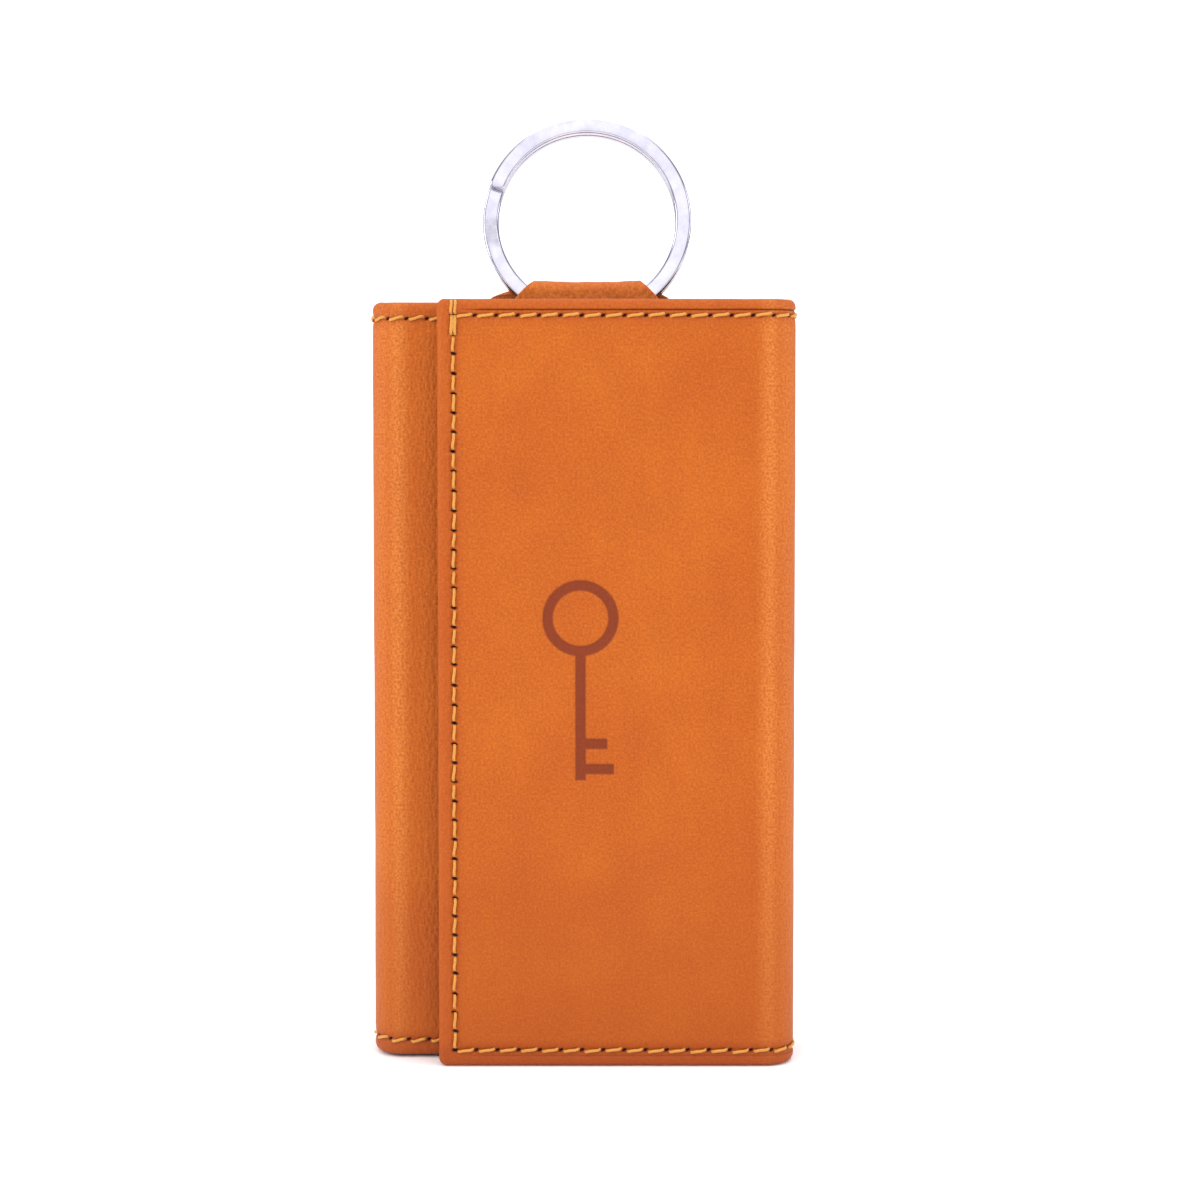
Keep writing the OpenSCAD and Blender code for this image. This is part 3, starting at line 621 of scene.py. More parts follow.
# Waxed polyester thread: a soft low gloss, its plies shown by the mesh and its fibres by the bump.
waxed_thread, shader = finish_for("waxed_polyester_thread", Roughness=0.55, Sheen_Weight=0.15)
where = add(waxed_thread, "ShaderNodeTexCoord")
fibre_size = 0.12 * mm
fibres = add(waxed_thread, "ShaderNodeTexNoise", {
    "Vector": where.outputs["Object"], "Scale": 1 / fibre_size, "Detail": 3, "Roughness": 0.6})
shades = add(waxed_thread, "ShaderNodeMix", {
    0: fibres.outputs["Fac"], 6: linear("#B06F1A"), 7: linear("#DFA03C")}, data_type="RGBA")
fuzz = add(waxed_thread, "ShaderNodeBump", {
    "Height": fibres.outputs["Fac"], "Strength": 0.4, "Distance": 0.04 * mm})
waxed_thread.node_tree.links.new(shades.outputs[2], shader.inputs["Base Color"])
waxed_thread.node_tree.links.new(fuzz.outputs["Normal"], shader.inputs["Normal"])

sewn = {
    "front_flap": ("front_flap_stitching", "right_spine_stitching"),
    "left_flap": ("left_flap_stitching", "left_spine_stitching"),
    "back_right": ("back_stitching", "right_spine_stitching"),
    "back_left": ("back_stitching", "left_spine_stitching"),
}
for name, panel in panels.items():
    for face, depth, out in (("outer", 0, -1), ("inner", inner, 1)):
        ways = []
        for row in row_holes(panel):
            for (a, u, way), (b, v, _) in zip(row, row[1:]):
                jog = panel.rng.normal(0, 0.05 * mm)
                if way == 0:
                    rise = 0.25 * mm * panel.side * (1 if name.startswith("back") else -1)
                    ways.append(((a + 0.4 * mm, u + jog + rise), (b - 0.36 * mm, v + jog - rise), 0.04 * mm))
                else:
                    ways.append(((a - 0.03 * mm, u + 0.3 * mm), (b + 0.03 * mm, v - 0.26 * mm), 0.06 * mm))
        # The front flap's seam is locked with a doubled stitch at its top, and one over the edge.
        if name == "front_flap":
            corner_up = panel.top - stitch_from_edge
            for shift in (-0.29 * mm, 0.29 * mm):
                beside = stitch_from_edge + shift
                ways.append(((beside, corner_up + 0.1 * mm), (beside, panel.top - 0.2 * mm), 0.05 * mm))
                ways.append(((beside, corner_up - 3 * mm),
                             (stitch_from_edge + shift * 0.8, corner_up), 0.1 * mm))
        # The thread is pulled into the lining, and on the back level with the leather.
        if face == "inner":
            ways = [(a, b, -0.03 * mm) for a, b, lift in ways]
        elif name.startswith("back"):
            ways = [(a, b, -0.05 * mm) for a, b, lift in ways]
        thread_row = sew(f"{name}_{face}_thread", panel, ways, depth, out)
        coat(thread_row, waxed_thread)
        bend(thread_row, name)
        if face == "outer":
            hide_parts(*sewn[name])

# ---- Press studs --------------------------------------------------------------------
# Two pairs of nickel-plated brass studs, turned and pressed, close the front flap on the left one.
# Each is clinched through its lining over a flat cap or a post with a low domed head.


def turned(name, profile, middle, axis):
    """A lathe-turned solid. profile runs round the section as (radius, height), height along axis."""
    sides = 72
    box = bmesh.new()
    axis = Vector(axis)
    square = axis.orthogonal().normalized()
    third = axis.cross(square)
    rings = []
    for radius, high in profile:
        ring = []
        for k in range(sides if radius > 0 else 1):
            a = 2 * math.pi * k / sides
            ring.append(box.verts.new(Vector(middle) + axis * high
                                      + (square * math.cos(a) + third * math.sin(a)) * radius))
        rings.append(ring)
    closed = profile[0][0] > 0
    for one, two in zip(rings, rings[1:] + (rings[:1] if closed else [])):
        for k in range(sides):
            ring = [one[k % len(one)], one[(k + 1) % len(one)], two[(k + 1) % len(two)], two[k % len(two)]]
            box.faces.new(list(dict.fromkeys(ring)))
    bmesh.ops.recalc_face_normals(box, faces=box.faces)
    return finished(name, box)


def finished(name, box):
    """Makes an object of a bmesh, smooth apart from its sharp edges."""
    mesh = bpy.data.meshes.new(name)
    box.to_mesh(mesh)
    box.free()
    mesh.shade_smooth()
    mesh.set_sharp_from_angle(angle=math.radians(38))
    piece = bpy.data.objects.new(name, mesh)
    bpy.context.scene.collection.objects.link(piece)
    return piece


def eased(profile, ease):
    """A profile with its corners cut twice, so that they catch the light as a plated edge does."""
    points = [Vector(p) for p in profile]
    out = []
    for i, p in enumerate(points):
        before, after = points[i - 1], points[(i + 1) % len(points)]
        at_end = p.x == 0
        if at_end:
            out.append(tuple(p))
            continue
        for t in (0, 0.3, 0.7, 1):
            reach = min(ease, (before - p).length * 0.45, (after - p).length * 0.45)
            one = p + (before - p).normalized() * reach
            two = p + (after - p).normalized() * reach
            out.append(tuple((1 - t) ** 2 * one + 2 * t * (1 - t) * p + t * t * two))
    return out


# Bright nickel over brass and steel: a mirror that handling has dulled with rubbed patches.
nickel, shader = finish_for("bright_nickel_plate", Metallic=1.0, Roughness=0.2)
where = add(nickel, "ShaderNodeTexCoord")
rub_size = 3 * mm
rubbed = add(nickel, "ShaderNodeTexNoise", {
    "Vector": where.outputs["Object"], "Scale": 1 / rub_size, "Detail": 8, "Roughness": 0.7})
dulled = add(nickel, "ShaderNodeMapRange", {
    "Value": rubbed.outputs["Fac"], "From Min": 0.3, "From Max": 0.7, "To Min": 0.08, "To Max": 0.22})
nickel.node_tree.links.new(dulled.outputs["Result"], shader.inputs["Roughness"])
patches = add(nickel, "ShaderNodeMapRange", {
    "Value": rubbed.outputs["Fac"], "From Min": 0.35, "From Max": 0.65, "To Min": 0, "To Max": 1})
tone = add(nickel, "ShaderNodeMix", {
    0: patches.outputs["Result"], 6: linear("#B2B1BF"), 7: linear("#C9C8D2")}, data_type="RGBA")
nickel.node_tree.links.new(tone.outputs[2], shader.inputs["Base Color"])
scuffs = add(nickel, "ShaderNodeBump", {
    "Height": rubbed.outputs["Fac"], "Strength": 0.12, "Distance": 0.02 * mm})
nickel.node_tree.links.new(scuffs.outputs["Normal"], shader.inputs["Normal"])

socket_low, socket_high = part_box("stud_sockets")
post_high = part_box("stud_posts")[1]
socket_r = (socket_high.x - socket_low.x) / 2
stud_x = (socket_high.x + socket_low.x) / 2
stud_z = (socket_low.z + socket_r, socket_high.z - socket_r)
tall = socket_high.y - socket_low.y
socket_ring = eased([(1.2 * mm, 0), (socket_r, 0), (socket_r, tall), (3 * mm, tall),
                     (2.7 * mm, tall - 0.3 * mm), (2.7 * mm, 0.4 * mm), (1.2 * mm, 0.4 * mm)], 0.25 * mm)
stud_head = eased([(0, 0), (4.5 * mm, 0), (4.5 * mm, 0.5 * mm), (2.3 * mm, 0.5 * mm), (2.1 * mm, 0.75 * mm),
                   (2.25 * mm, 1.0 * mm), (1.9 * mm, 1.3 * mm), (0, 1.3 * mm)], 0.18 * mm)
post_head = eased([(0, -3 * mm), (1.2 * mm, -3 * mm), (1.2 * mm, 0), (4.2 * mm, 0), (4.15 * mm, 0.25 * mm),
                   (3.3 * mm, 0.53 * mm), (0, 0.6 * mm)], 0.2 * mm)
for index, z in enumerate(stud_z, 1):
    for name, profile, y, out, body, node in (
            ("stud_socket", socket_ring, socket_low.y, 1, "front_flap", "stud_sockets"),
            ("stud", stud_head, flap_low.y, -1, "left_flap", "studs"),
            ("stud_post", post_head, post_high.y - 0.6 * mm, 1, "left_flap", "stud_posts")):
        piece = turned(f"{name}_{index}", profile, (stud_x, y, z), (0, out, 0))
        coat(piece, nickel)
        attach(piece, body)
        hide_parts(node)
coat(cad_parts["stud_caps"], nickel)

# ---- Key bar ------------------------------------------------------------------------
# One 1 mm steel plate, stamped and folded into a channel, then nickel plated. Two domed rivets
# hold it to the back through the lining, over washers that stay hidden in the board.


def plate(name, outlines, half, ease, place):
    """A flat part cut to outlines, the first round it and any others round its holes, with eased edges.

    place turns (across, up, through) into the frame."""
    curve = bpy.data.curves.new(name, "CURVE")
    curve.dimensions = "2D"
    curve.fill_mode = "BOTH"
    curve.extrude = half - ease
    curve.bevel_depth = ease
    curve.bevel_resolution = 3
    curve.offset = -ease
    for outline in outlines:
        spline = curve.splines.new("POLY")
        spline.points.add(len(outline) - 1)
        for point, (a, b) in zip(spline.points, outline):
            point.co = (a, b, 0, 1)
        spline.use_cyclic_u = True
    holder = bpy.data.objects.new(name, curve)
    bpy.context.scene.collection.objects.link(holder)
    bpy.context.view_layer.update()
    mesh = bpy.data.meshes.new_from_object(holder.evaluated_get(bpy.context.evaluated_depsgraph_get()))
    bpy.data.objects.remove(holder)
    bpy.data.curves.remove(curve)
    for vertex in mesh.vertices:
        vertex.co = place(*vertex.co)
    box = bmesh.new()
    box.from_mesh(mesh)
    bpy.data.meshes.remove(mesh)
    bmesh.ops.remove_doubles(box, verts=box.verts, dist=0.005 * mm)
    bmesh.ops.recalc_face_normals(box, faces=box.faces)
    return finished(name, box)


def joined(name, pieces):
    """One object made of several."""
    box = bmesh.new()
    for piece in pieces:
        box.from_mesh(piece.data)
        bpy.data.objects.remove(piece)
    return finished(name, box)


def arc(middle, radius, start, end, steps=12):
    """Points of an arc, its ends given in degrees anticlockwise from the first axis."""
    turns = [math.radians(start + (end - start) * i / steps) for i in range(steps + 1)]
    return [(middle[0] + radius * math.cos(t), middle[1] + radius * math.sin(t)) for t in turns]


def round_corners_of(corners, radius):
    """A closed outline with each of its square corners rounded."""
    points = [Vector(c) for c in corners]
    out = []
    for i, p in enumerate(points):
        before = (points[i - 1] - p).normalized()
        after = (points[(i + 1) % len(points)] - p).normalized()
        for t in (0, 0.2, 0.4, 0.6, 0.8, 1):
            out.append(tuple(p + before * radius * (1 - t) ** 2 + after * radius * t * t))
    return out


bar_low, bar_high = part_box("key_bar")
plate_t = 1 * mm
wide = bar_high.x - bar_low.x
back_plate = plate(
    "key_bar_plate",
    [[(bar_low.x + 0.02 * mm, bar_low.z + 1.1 * mm), (bar_high.x - 0.02 * mm, bar_low.z + 1.1 * mm)]
     + arc((bar_high.x - 2 * mm, bar_high.z - 2 * mm), 2 * mm, 0, 90)
     + arc((bar_low.x + 2 * mm, bar_high.z - 2 * mm), 2 * mm, 90, 180)],
    plate_t / 2, 0.16 * mm, lambda a, b, c: (a, bar_high.y - plate_t / 2 + c, b))
bend_r = 1.3 * mm
section = [(bar_high.y, bar_low.z + 1.6 * mm)]
section += arc((bar_high.y - bend_r, bar_low.z + bend_r), bend_r, 0, -90)
section += arc((bar_low.y + bend_r, bar_low.z + bend_r), bend_r, -90, -180)
section += [(bar_low.y, bar_low.z + 3.2 * mm), (bar_low.y + 0.8 * mm, bar_low.z + 3.2 * mm)]
section += arc((bar_low.y + bend_r, bar_low.z + bend_r), bend_r - 0.8 * mm, 180, 270, 6)
section += arc((bar_high.y - bend_r, bar_low.z + bend_r), bend_r - plate_t, -90, 0, 6)
section += [(bar_high.y - plate_t, bar_low.z + 1.6 * mm)]
channel = plate("key_bar_channel", [section], wide / 2, 0.14 * mm, lambda a, b, c: (c, a, b))
key_bar = joined("key_bar_folded_plate", [back_plate, channel])
coat(key_bar, nickel)
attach(key_bar, "back")
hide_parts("key_bar")

rivet_low, rivet_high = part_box("bar_rivets")
rivet_r = 2.4 * mm
rivet_z = (rivet_low.z + rivet_high.z) / 2
dome = [(0, -2.4 * mm), (1.4 * mm, -2.4 * mm), (1.4 * mm, 0), (rivet_r, 0), (rivet_r, 0.12 * mm)]
dome += [(rivet_r * math.cos(t), (0.12 + 0.68 * math.sin(t)) * mm)
         for t in np.linspace(0.12, math.pi / 2 - 0.1, 9)]
dome += [(0, 0.8 * mm)]
for index, x in enumerate((rivet_low.x + rivet_r, rivet_high.x - rivet_r), 1):
    rivet = turned(f"bar_rivet_{index}", dome, (x, bar_high.y - plate_t, rivet_z), (0, -1, 0))
    coat(rivet, nickel)
    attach(rivet, "back")
    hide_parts("bar_rivets")
coat(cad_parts["rivet_washers"], nickel)

# ---- Hooks and gates ----------------------------------------------------------------
# Six key hooks stamped from 1.6 mm steel, each hung in the channel by the head of its stem and
# free to turn. A folded spring-steel gate swings inwards on a pin to let a key ring in.

# Spring steel: the same plating over a harder, browner metal with marks of the rolls along it.
spring_steel, shader = finish_for("plated_spring_steel", Metallic=1.0, Roughness=0.22)
shader.inputs["Base Color"].default_value = linear("#A5A19B")
where = add(spring_steel, "ShaderNodeTexCoord")
drawn = add(spring_steel, "ShaderNodeMapping", {"Vector": where.outputs["Object"], "Scale": (1, 1, 0.06)})
roll_pitch = 0.15 * mm
rolled = add(spring_steel, "ShaderNodeTexNoise", {
    "Vector": drawn.outputs["Vector"], "Scale": 1 / roll_pitch, "Detail": 3, "Roughness": 0.5})
marks_of_rolls = add(spring_steel, "ShaderNodeBump", {
    "Height": rolled.outputs["Fac"], "Strength": 0.15, "Distance": 0.02 * mm})
spring_steel.node_tree.links.new(marks_of_rolls.outputs["Normal"], shader.inputs["Normal"])

hook_half, slot_half, hook_t = 3.1 * mm, 1.8 * mm, 1.6 * mm
under_collar, slot_top, mouth_low, hook_end = -1.3 * mm, -5.0 * mm, -14.0 * mm, -25.8 * mm
pin_x, pin_z, pin_r = 1.6 * mm, -3.6 * mm, 0.4 * mm
leaf_x, leaf_t, leaf_top, leaf_low = 0.85 * mm, 0.8 * mm, -5.45 * mm, -15.6 * mm
gate_half, ear_t = 1.2 * mm, 0.35 * mm
nose_r = (hook_half - slot_half) / 2
hook_outline = arc((0, under_collar - hook_half), hook_half, 180, 0, 24)
hook_outline += [(hook_half, slot_top), (slot_half, slot_top)]
hook_outline += [(-slot_half + 0.6 * mm, slot_top), (-slot_half + 0.15 * mm, slot_top - 0.15 * mm)]
hook_outline += [(-slot_half, slot_top - 0.6 * mm)]
hook_outline += arc((0, hook_end + hook_half), slot_half, 180, 360, 24)
hook_outline += arc((slot_half + nose_r, mouth_low), nose_r, 180, 0, 10)
hook_outline += arc((0, hook_end + hook_half), hook_half, 0, -180, 32)
pin_hole = arc((pin_x, pin_z), pin_r + 0.05 * mm, 0, 345, 23)
stem = eased([(0, 2.15 * mm), (1.8 * mm, 2.15 * mm), (1.8 * mm, 1.15 * mm), (1.0 * mm, 1.15 * mm),
              (1.0 * mm, -0.15 * mm), (1.8 * mm, -0.15 * mm), (1.8 * mm, -1.3 * mm), (1.2 * mm, -1.6 * mm),
              (0, -1.6 * mm)], 0.2 * mm)
ear = arc((pin_x, pin_z), 1.1 * mm, 0, 180, 16)
ear += [(leaf_x - 0.02 * mm, pin_z - 0.4 * mm), (leaf_x - 0.02 * mm, leaf_top - 1.2 * mm)]
ear += [(leaf_x + leaf_t, leaf_top - 1.2 * mm), (leaf_x + 1.5 * mm, leaf_top - 0.5 * mm)]
ear += [(pin_x + 1.05 * mm, pin_z - 0.6 * mm)]
leaf = round_corners_of([(leaf_x, leaf_low), (leaf_x + leaf_t, leaf_low), (leaf_x + leaf_t, leaf_top),
                         (leaf_x, leaf_top)], 0.12 * mm)
pin = eased([(0, -gate_half), (pin_r, -gate_half), (pin_r, gate_half), (0, gate_half)], 0.12 * mm)
hook_count = 6
for index in range(1, hook_count + 1):
    low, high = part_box(f"hook_{index}")
    x, y, z = (low.x + high.x) / 2, (low.y + high.y) / 2, bar_low.z

    def flat(a, b, c):
        """A flat part of this hook stands in the plane of X and Z."""
        return (x + a, y + c, z + b)

    body = plate("blade", [hook_outline, pin_hole], hook_t / 2, 0.32 * mm, flat)
    neck = turned("stem", stem, (x, y, z), (0, 0, 1))
    hook = joined(f"key_hook_{index}", [body, neck])
    coat(hook, nickel)
    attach(hook, f"hook_{index}")
    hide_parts(f"hook_{index}")
    ears = [plate("ear", [ear], ear_t / 2, 0.08 * mm,
                  lambda a, b, c, side=side: (x + a, y + side * (gate_half - ear_t / 2) + c, z + b))
            for side in (-1, 1)]
    blade = plate("leaf", [leaf], gate_half - 0.04 * mm, 0.1 * mm, flat)
    rod = turned("pin", pin, (x + pin_x, y, z + pin_z), (0, 1, 0))
    gate = joined(f"hook_gate_{index}", ears + [blade, rod])
    coat(gate, spring_steel)
    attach(gate, f"gate_{index}")
    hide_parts(f"gate_{index}")

# ---- Strap --------------------------------------------------------------------------
# A strip of the same hide, 1 mm thick and cut with a knife, folded round the ring. Its two ends
# are sewn together to the back lining, and it comes out between the back and the flaps.

strap_t = 1 * mm
anchor_low, anchor_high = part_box("strap_anchor")
strap_x = (anchor_low.x + anchor_high.x) / 2
strap_half = (anchor_high.x - anchor_low.x) / 2
lean = math.radians(8)
pivot_y, pivot_z = middle_left, height - 0.7 * mm


def leant(y, z):
    """A place beside the ring's pivot, leant back with the ring."""
    return (pivot_y + y * math.cos(lean) + z * math.sin(lean),
            pivot_z - y * math.sin(lean) + z * math.cos(lean))


def smoothed(path, times):
    """A path with its corners cut, over and over."""
    for _ in range(times):
        cut = [path[0]]
        for a, b in zip(path, path[1:]):
            for share in (0.25, 0.75):
                cut.append(tuple((1 - share) * p + share * q for p, q in zip(a, b)))
        path = cut + [path[-1]]
    return path


def ribbon(name, path, thickness):
    """A strip of leather along a path of (y, z, half width, shift), with a flesh side on the path's right.

    A shift moves it along X, and may be left out."""
    path = np.array([(*p, 0)[:4] for p in path])
    steps = np.diff(path[:, :2], axis=0)
    gaps = np.hypot(*steps.T)
    along = np.concatenate([[0], np.cumsum(gaps)])
    fine = np.arange(0, along[-1], 0.22 * mm)
    fine = np.append(fine, along[-1])
    y, z, half, shift = (np.interp(fine, along, path[:, k]) for k in range(4))
    ty, tz = np.gradient(y, fine), np.gradient(z, fine)
    size = np.hypot(ty, tz)
    ny, nz = -tz / size, ty / size
    r = thickness / 2
    rim = np.array([0.45 * r, 0, -0.45 * r])
    across = np.concatenate([np.linspace(-1, 1, 61), np.ones(3), np.linspace(1, -1, 61), -np.ones(3)])
    lift = np.concatenate([np.full(61, r), rim, np.full(61, -r), -rim])
    inset = np.where(np.abs(across) > 0.999, np.where(np.abs(lift) > 0.9 * r, 0.3 * mm, 0.03 * mm), 0)
    ring = len(across)
    box = bmesh.new()
    marks = {n: box.verts.layers.float.new(n) for n in ("hole", "bent", "from_edge", "pressed", "crease")}
    flat = box.verts.layers.float_vector.new("unrolled")
    rows = []
    for i in range(len(fine)):
        row = []
        for k in range(ring):
            a = across[k]
            x = a * half[i] - math.copysign(inset[k], a)
            x += 0.08 * mm * math.sin(fine[i] * 900 + 2 * a) * (abs(a) > 0.9)
            sagged = 0.22 * mm * (a * a - 1)
            rough = 0.04 * mm * math.sin(x * 1500 + fine[i] * 700) * math.cos(fine[i] * 1100 - x * 500)
            off = lift[k] + rough
            v = box.verts.new((strap_x + shift[i] + x, y[i] + ny[i] * off, z[i] + nz[i] * off + sagged))
            edge = min(half[i] - abs(x), fine[i] + 0.6 * mm, along[-1] - fine[i] + 0.6 * mm)
            v[marks["from_edge"]] = 3.4 + edge / mm
            # A weak painted highlight over the whole strap.
            v[marks["bent"]] = 0.3
            v[flat] = (0.4 + x, 0.2 + fine[i], off)
            row.append(v)
        rows.append(row)
    for one, two in zip(rows, rows[1:]):
        for k in range(ring):
            n = (k + 1) % ring
            face = box.faces.new((one[k], one[n], two[n], two[k]))
            face.material_index = 1 if min(lift[k], lift[n]) < 0 else 0
    for row in (rows[0], rows[-1]):
        box.faces.new(row).material_index = 1
    bmesh.ops.recalc_face_normals(box, faces=box.faces)
    return finished(name, box)


# The flesh side and the cut edges of the hide: browner, matt, with a felt of loose fibres, and darkened
# further as a painted shade of the strap's back layer.
flesh_side, shader = finish_for("hide_flesh_side_and_cut_edge", Roughness=0.85, Specular_IOR_Level=0.2)
where = add(flesh_side, "ShaderNodeAttribute", attribute_name="unrolled").outputs["Vector"]
felt_size = 0.35 * mm
felt = add(flesh_side, "ShaderNodeTexNoise", {
    "Vector": where, "Scale": 1 / felt_size, "Detail": 6, "Roughness": 0.7})
tufts = add(flesh_side, "ShaderNodeMapRange", {
    "Value": felt.outputs["Fac"], "From Min": 0.3, "From Max": 0.7, "To Min": 0, "To Max": 1})
shades = add(flesh_side, "ShaderNodeMix", {
    0: tufts.outputs["Result"], 6: linear("#74401E"), 7: linear("#9A5C33")}, data_type="RGBA")
loose = add(flesh_side, "ShaderNodeBump", {
    "Height": felt.outputs["Fac"], "Strength": 0.6, "Distance": 0.08 * mm})
flesh_side.node_tree.links.new(shades.outputs[2], shader.inputs["Base Color"])
flesh_side.node_tree.links.new(loose.outputs["Normal"], shader.inputs["Normal"])

# Each place on the loop's side view is (y, z, half width, shift) beside the pivot, from the
# front layer's lower end up to the fold and down the back layer.
front_side = [(-0.5, -6.3, 12.0, 0), (-2.35, -2.9, 11.8, 0), (-2.4, -0.6, 11.5, 0), (-2.4, 0.7, 11.0, 0)]
front_side += [(-2.42, 1.6, 10.3, 0), (-2.4, 2.5, 9.4, 0)]
fold = [(-1.7, 3.2, 8.6, 0), (-0.7, 3.5, 8.2, 0), (0.7, 3.4, 8.2, 0), (1.6, 3.0, 8.3, 0)]
back_side = [(2.3, 2.7, 11.4, -0.8), (2.5, 2.3, 13.0, -1.1), (2.5, 1.6, 14.0, -1.1), (2.45, 0.6, 14.2, -1.0)]
back_side += [(2.4, -0.6, 13.6, -0.6), (2.35, -2.9, 12.6, -0.2), (0.5, -6.3, 12.0, 0)]
side_view = smoothed([tuple(v * mm for v in p) for p in front_side + fold + back_side], 2)
loop = ribbon("strap_loop_leather", [(*leant(y, z), half, shift) for y, z, half, shift in side_view], strap_t)
layers = []
for side in (-1, 1):
    lower = (anchor_low.y + anchor_high.y) / 2 + side * strap_t / 2
    upper = leant(side * strap_t / 2, -6.3 * mm)
    past = leant(side * 0.5 * mm, -5.9 * mm)
    path = [(lower, anchor_low.z), (lower, anchor_low.z + 3 * mm), (lower, anchor_high.z), upper, past]
    path = smoothed([(*p, strap_half) for p in path], 2)
    layers.append(ribbon("layer", path, strap_t))
tail = joined("strap_sewn_end_leather", layers)
for piece in (loop, tail):
    coat(piece, tan_leather)
    piece.data.materials.append(flesh_side)
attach(loop, "strap_loop")
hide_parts("strap_loop")
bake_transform(tail)
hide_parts("strap_anchor", "strap_tail")


class Face:
    """The strap's sewn face: along runs across the strap, up is the height, and deep is into it."""

    def place(self, along, up, deep):
        """Points in the case's frame."""
        return np.stack(np.broadcast_arrays(strap_x + along, anchor_low.y + deep, up), axis=-1)


across = np.arange(-3.5, 3.6) * hole_pitch
ways = []
for up in (anchor_low.z + 1.5 * mm, anchor_high.z - 1.5 * mm):
    for a, b in zip(across, across[1:]):
        ways.append(((a + 0.3 * mm, up - 0.1 * mm), (b - 0.25 * mm, up + 0.1 * mm), 0.15 * mm))
strap_thread = sew("strap_thread", Face(), ways, 0, -1)
coat(strap_thread, waxed_thread)
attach(strap_thread, "back")
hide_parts("strap_stitching")

# ---- Split ring ---------------------------------------------------------------------
# A 32 mm split ring of flattened spring steel, wound for nearly two turns that step past each
# other and sheared square at both ends, then tumbled and plated bright nickel.

ring_r, wire_w, wire_t, gap = 16 * mm, 2.4 * mm, 1.57 * mm, 0.06 * mm
ring_middle = ring_r - 2.75 * mm
first, total, step_from, step_to = 160, 668, 312, 354
corner = 0.4 * mm
section = round_corners_of([(-wire_w / 2, -wire_t / 2), (wire_w / 2, -wire_t / 2), (wire_w / 2, wire_t / 2),
                            (-wire_w / 2, wire_t / 2)], corner)
box = bmesh.new()
rows = []
count = 420
for i in range(count + 1):
    turn = total * i / count
    a = math.radians(first - turn)
    t = min(max((turn - step_from) / (step_to - step_from), 0), 1)
    deep = (wire_t + gap) * (t * t * (3 - 2 * t) - 0.5)
    shrink = 0.93 if i in (0, count) else 1
    row = []
    for u, v in section:
        out = ring_r - wire_w / 2 + u * shrink
        dome = 0.07 * mm * (math.cos(u / wire_w * math.pi) - 1) * (1 if v > 0 else -1)
        y, z = deep + v * shrink + dome, ring_middle + out * math.sin(a)
        row.append(box.verts.new((strap_x + out * math.cos(a), *leant(y, z))))
    rows.append(row)
for one, two in zip(rows, rows[1:]):
    for k in range(len(section)):
        n = (k + 1) % len(section)
        box.faces.new((one[k], one[n], two[n], two[k]))
for row in (rows[0], rows[-1]):
    box.faces.new(row).material_index = 1
bmesh.ops.recalc_face_normals(box, faces=box.faces)
split_ring = finished("split_ring_wire", box)
coat(split_ring, nickel)
# The sheared ends: torn, dull steel, painted near black as shade, much darker than the rest.
sheared_steel, shader = finish_for("sheared_steel_end", Metallic=0.2, Roughness=0.7)
where = add(sheared_steel, "ShaderNodeTexCoord")
tear_pitch = 0.2 * mm
torn = add(sheared_steel, "ShaderNodeTexNoise", {
    "Vector": where.outputs["Object"], "Scale": 1 / tear_pitch, "Detail": 3})
shades = add(sheared_steel, "ShaderNodeMix", {
    0: torn.outputs["Fac"], 6: linear("#121214"), 7: linear("#34343A")}, data_type="RGBA")
sheared_steel.node_tree.links.new(shades.outputs[2], shader.inputs["Base Color"])
split_ring.data.materials.append(sheared_steel)
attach(split_ring, "ring")
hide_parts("split_ring")

# ---- Studio -------------------------------------------------------------------------
# A white table in a white room, with wide soft lamps at both sides, above and behind the camera.
# None of it belongs to the object.

floor_z = -0.05 * mm
mesh = bpy.data.meshes.new("table_top")
mesh.from_pydata([(-5, -5, floor_z), (5, -5, floor_z), (5, 9, floor_z), (-5, 9, floor_z)], [], [(0, 1, 2, 3)])
table_top = bpy.data.objects.new("table_top", mesh)
bpy.context.scene.collection.objects.link(table_top)
# White paint: even and matt, with only the slightest unevenness of tone.
white_paint, shader = finish_for("white_matt_paint", Roughness=0.8, Specular_IOR_Level=0.2)
where = add(white_paint, "ShaderNodeTexCoord")
patch = add(white_paint, "ShaderNodeTexNoise", {"Vector": where.outputs["Object"], "Scale": 1.5, "Detail": 2})
shades = add(white_paint, "ShaderNodeMix", {
    0: patch.outputs["Fac"], 6: linear("#F8F5F5"), 7: linear("#FBF9F9")}, data_type="RGBA")
white_paint.node_tree.links.new(shades.outputs[2], shader.inputs["Base Color"])
coat(table_top, white_paint)

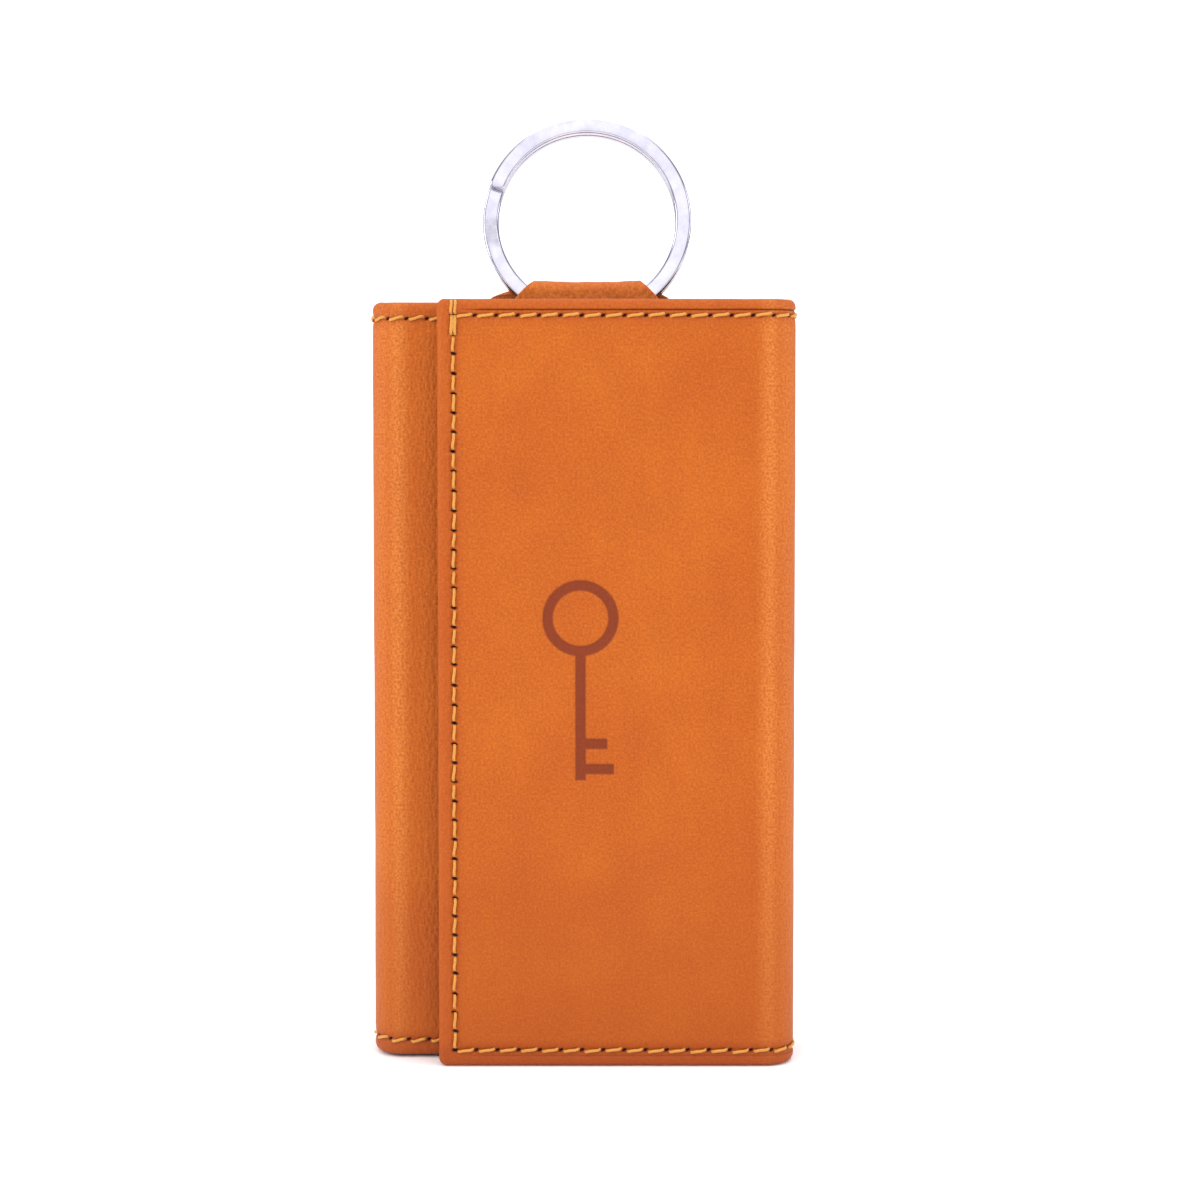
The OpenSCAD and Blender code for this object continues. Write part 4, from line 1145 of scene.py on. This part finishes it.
# The room is white to the eye. What mirrors in the metal is greyer low down and dark at both sides.
world = bpy.data.worlds.new("white_room")
bpy.context.scene.world = world
world.use_nodes = True
room = world.node_tree.nodes["Background"]
room.inputs["Strength"].default_value = 1.34
where = add(world, "ShaderNodeTexCoord")
ways_out = add(world, "ShaderNodeSeparateXYZ", {"Vector": where.outputs["Generated"]})
path = add(world, "ShaderNodeLightPath")
level = add(world, "ShaderNodeMapRange", {
    "Value": ways_out.outputs["Z"], "From Min": -0.1, "From Max": 0.35, "To Min": 0, "To Max": 1})
walls = add(world, "ShaderNodeMix", {
    0: level.outputs["Result"], 6: linear("#BDB9C2"), 7: linear("#F6F5F7")}, data_type="RGBA")
sideways = add(world, "ShaderNodeMath", {0: ways_out.outputs["X"]}, operation="ABSOLUTE")
sides = add(world, "ShaderNodeMapRange", {
    "Value": sideways.outputs[0], "From Min": 0.3, "From Max": 0.8, "To Min": 0, "To Max": 0.9})
mirrored = add(world, "ShaderNodeMath", {
    0: sides.outputs["Result"], 1: path.outputs["Is Glossy Ray"]}, operation="MULTIPLY")
walls = add(world, "ShaderNodeMix", {
    0: mirrored.outputs[0], 6: walls.outputs[2], 7: linear("#544E6C")}, data_type="RGBA")
backdrop = add(world, "ShaderNodeMix", {
    0: path.outputs["Is Camera Ray"], 6: walls.outputs[2], 7: linear("#FFFFFF")}, data_type="RGBA")
world.node_tree.links.new(backdrop.outputs[2], room.inputs["Color"])


def lamp(name, power, size, place, target, tint="#FFFFFF"):
    """A soft square lamp that points at a target."""
    light = bpy.data.lights.new(name, "AREA")
    light.energy = power
    light.size = size
    light.color = linear(tint)[:3]
    holder = bpy.data.objects.new(name, light)
    holder.location = place
    holder.rotation_euler = (Vector(target) - Vector(place)).to_track_quat("-Z", "Y").to_euler()
    bpy.context.scene.collection.objects.link(holder)


lamp("ceiling_lamp", 3.2, 0.9, (0, -0.15, 0.95), (0, 0, 0.05))
lamp("left_lamp", 1.8, 0.35, (-0.65, -0.2, 0.35), (0, 0, 0.07))
lamp("right_lamp", 1.2, 0.35, (0.65, -0.2, 0.35), (0, 0, 0.07))
lamp("front_lamp", 0.7, 0.6, (0, -0.9, 0.55), (0, 0, 0.06))

camera = bpy.data.objects.new("camera", bpy.data.cameras.new("camera"))
bpy.context.scene.collection.objects.link(camera)
camera.data.lens = 65.7
camera.data.sensor_width = 36
camera.data.clip_start = 0.01
camera.data.shift_y = -0.0794
camera.location = (0.0026, -0.3344, 0.098)
camera.rotation_euler = (math.radians(90 - 2.39), 0, 0)
bpy.context.scene.camera = camera
bpy.context.scene.view_settings.view_transform = "Standard"
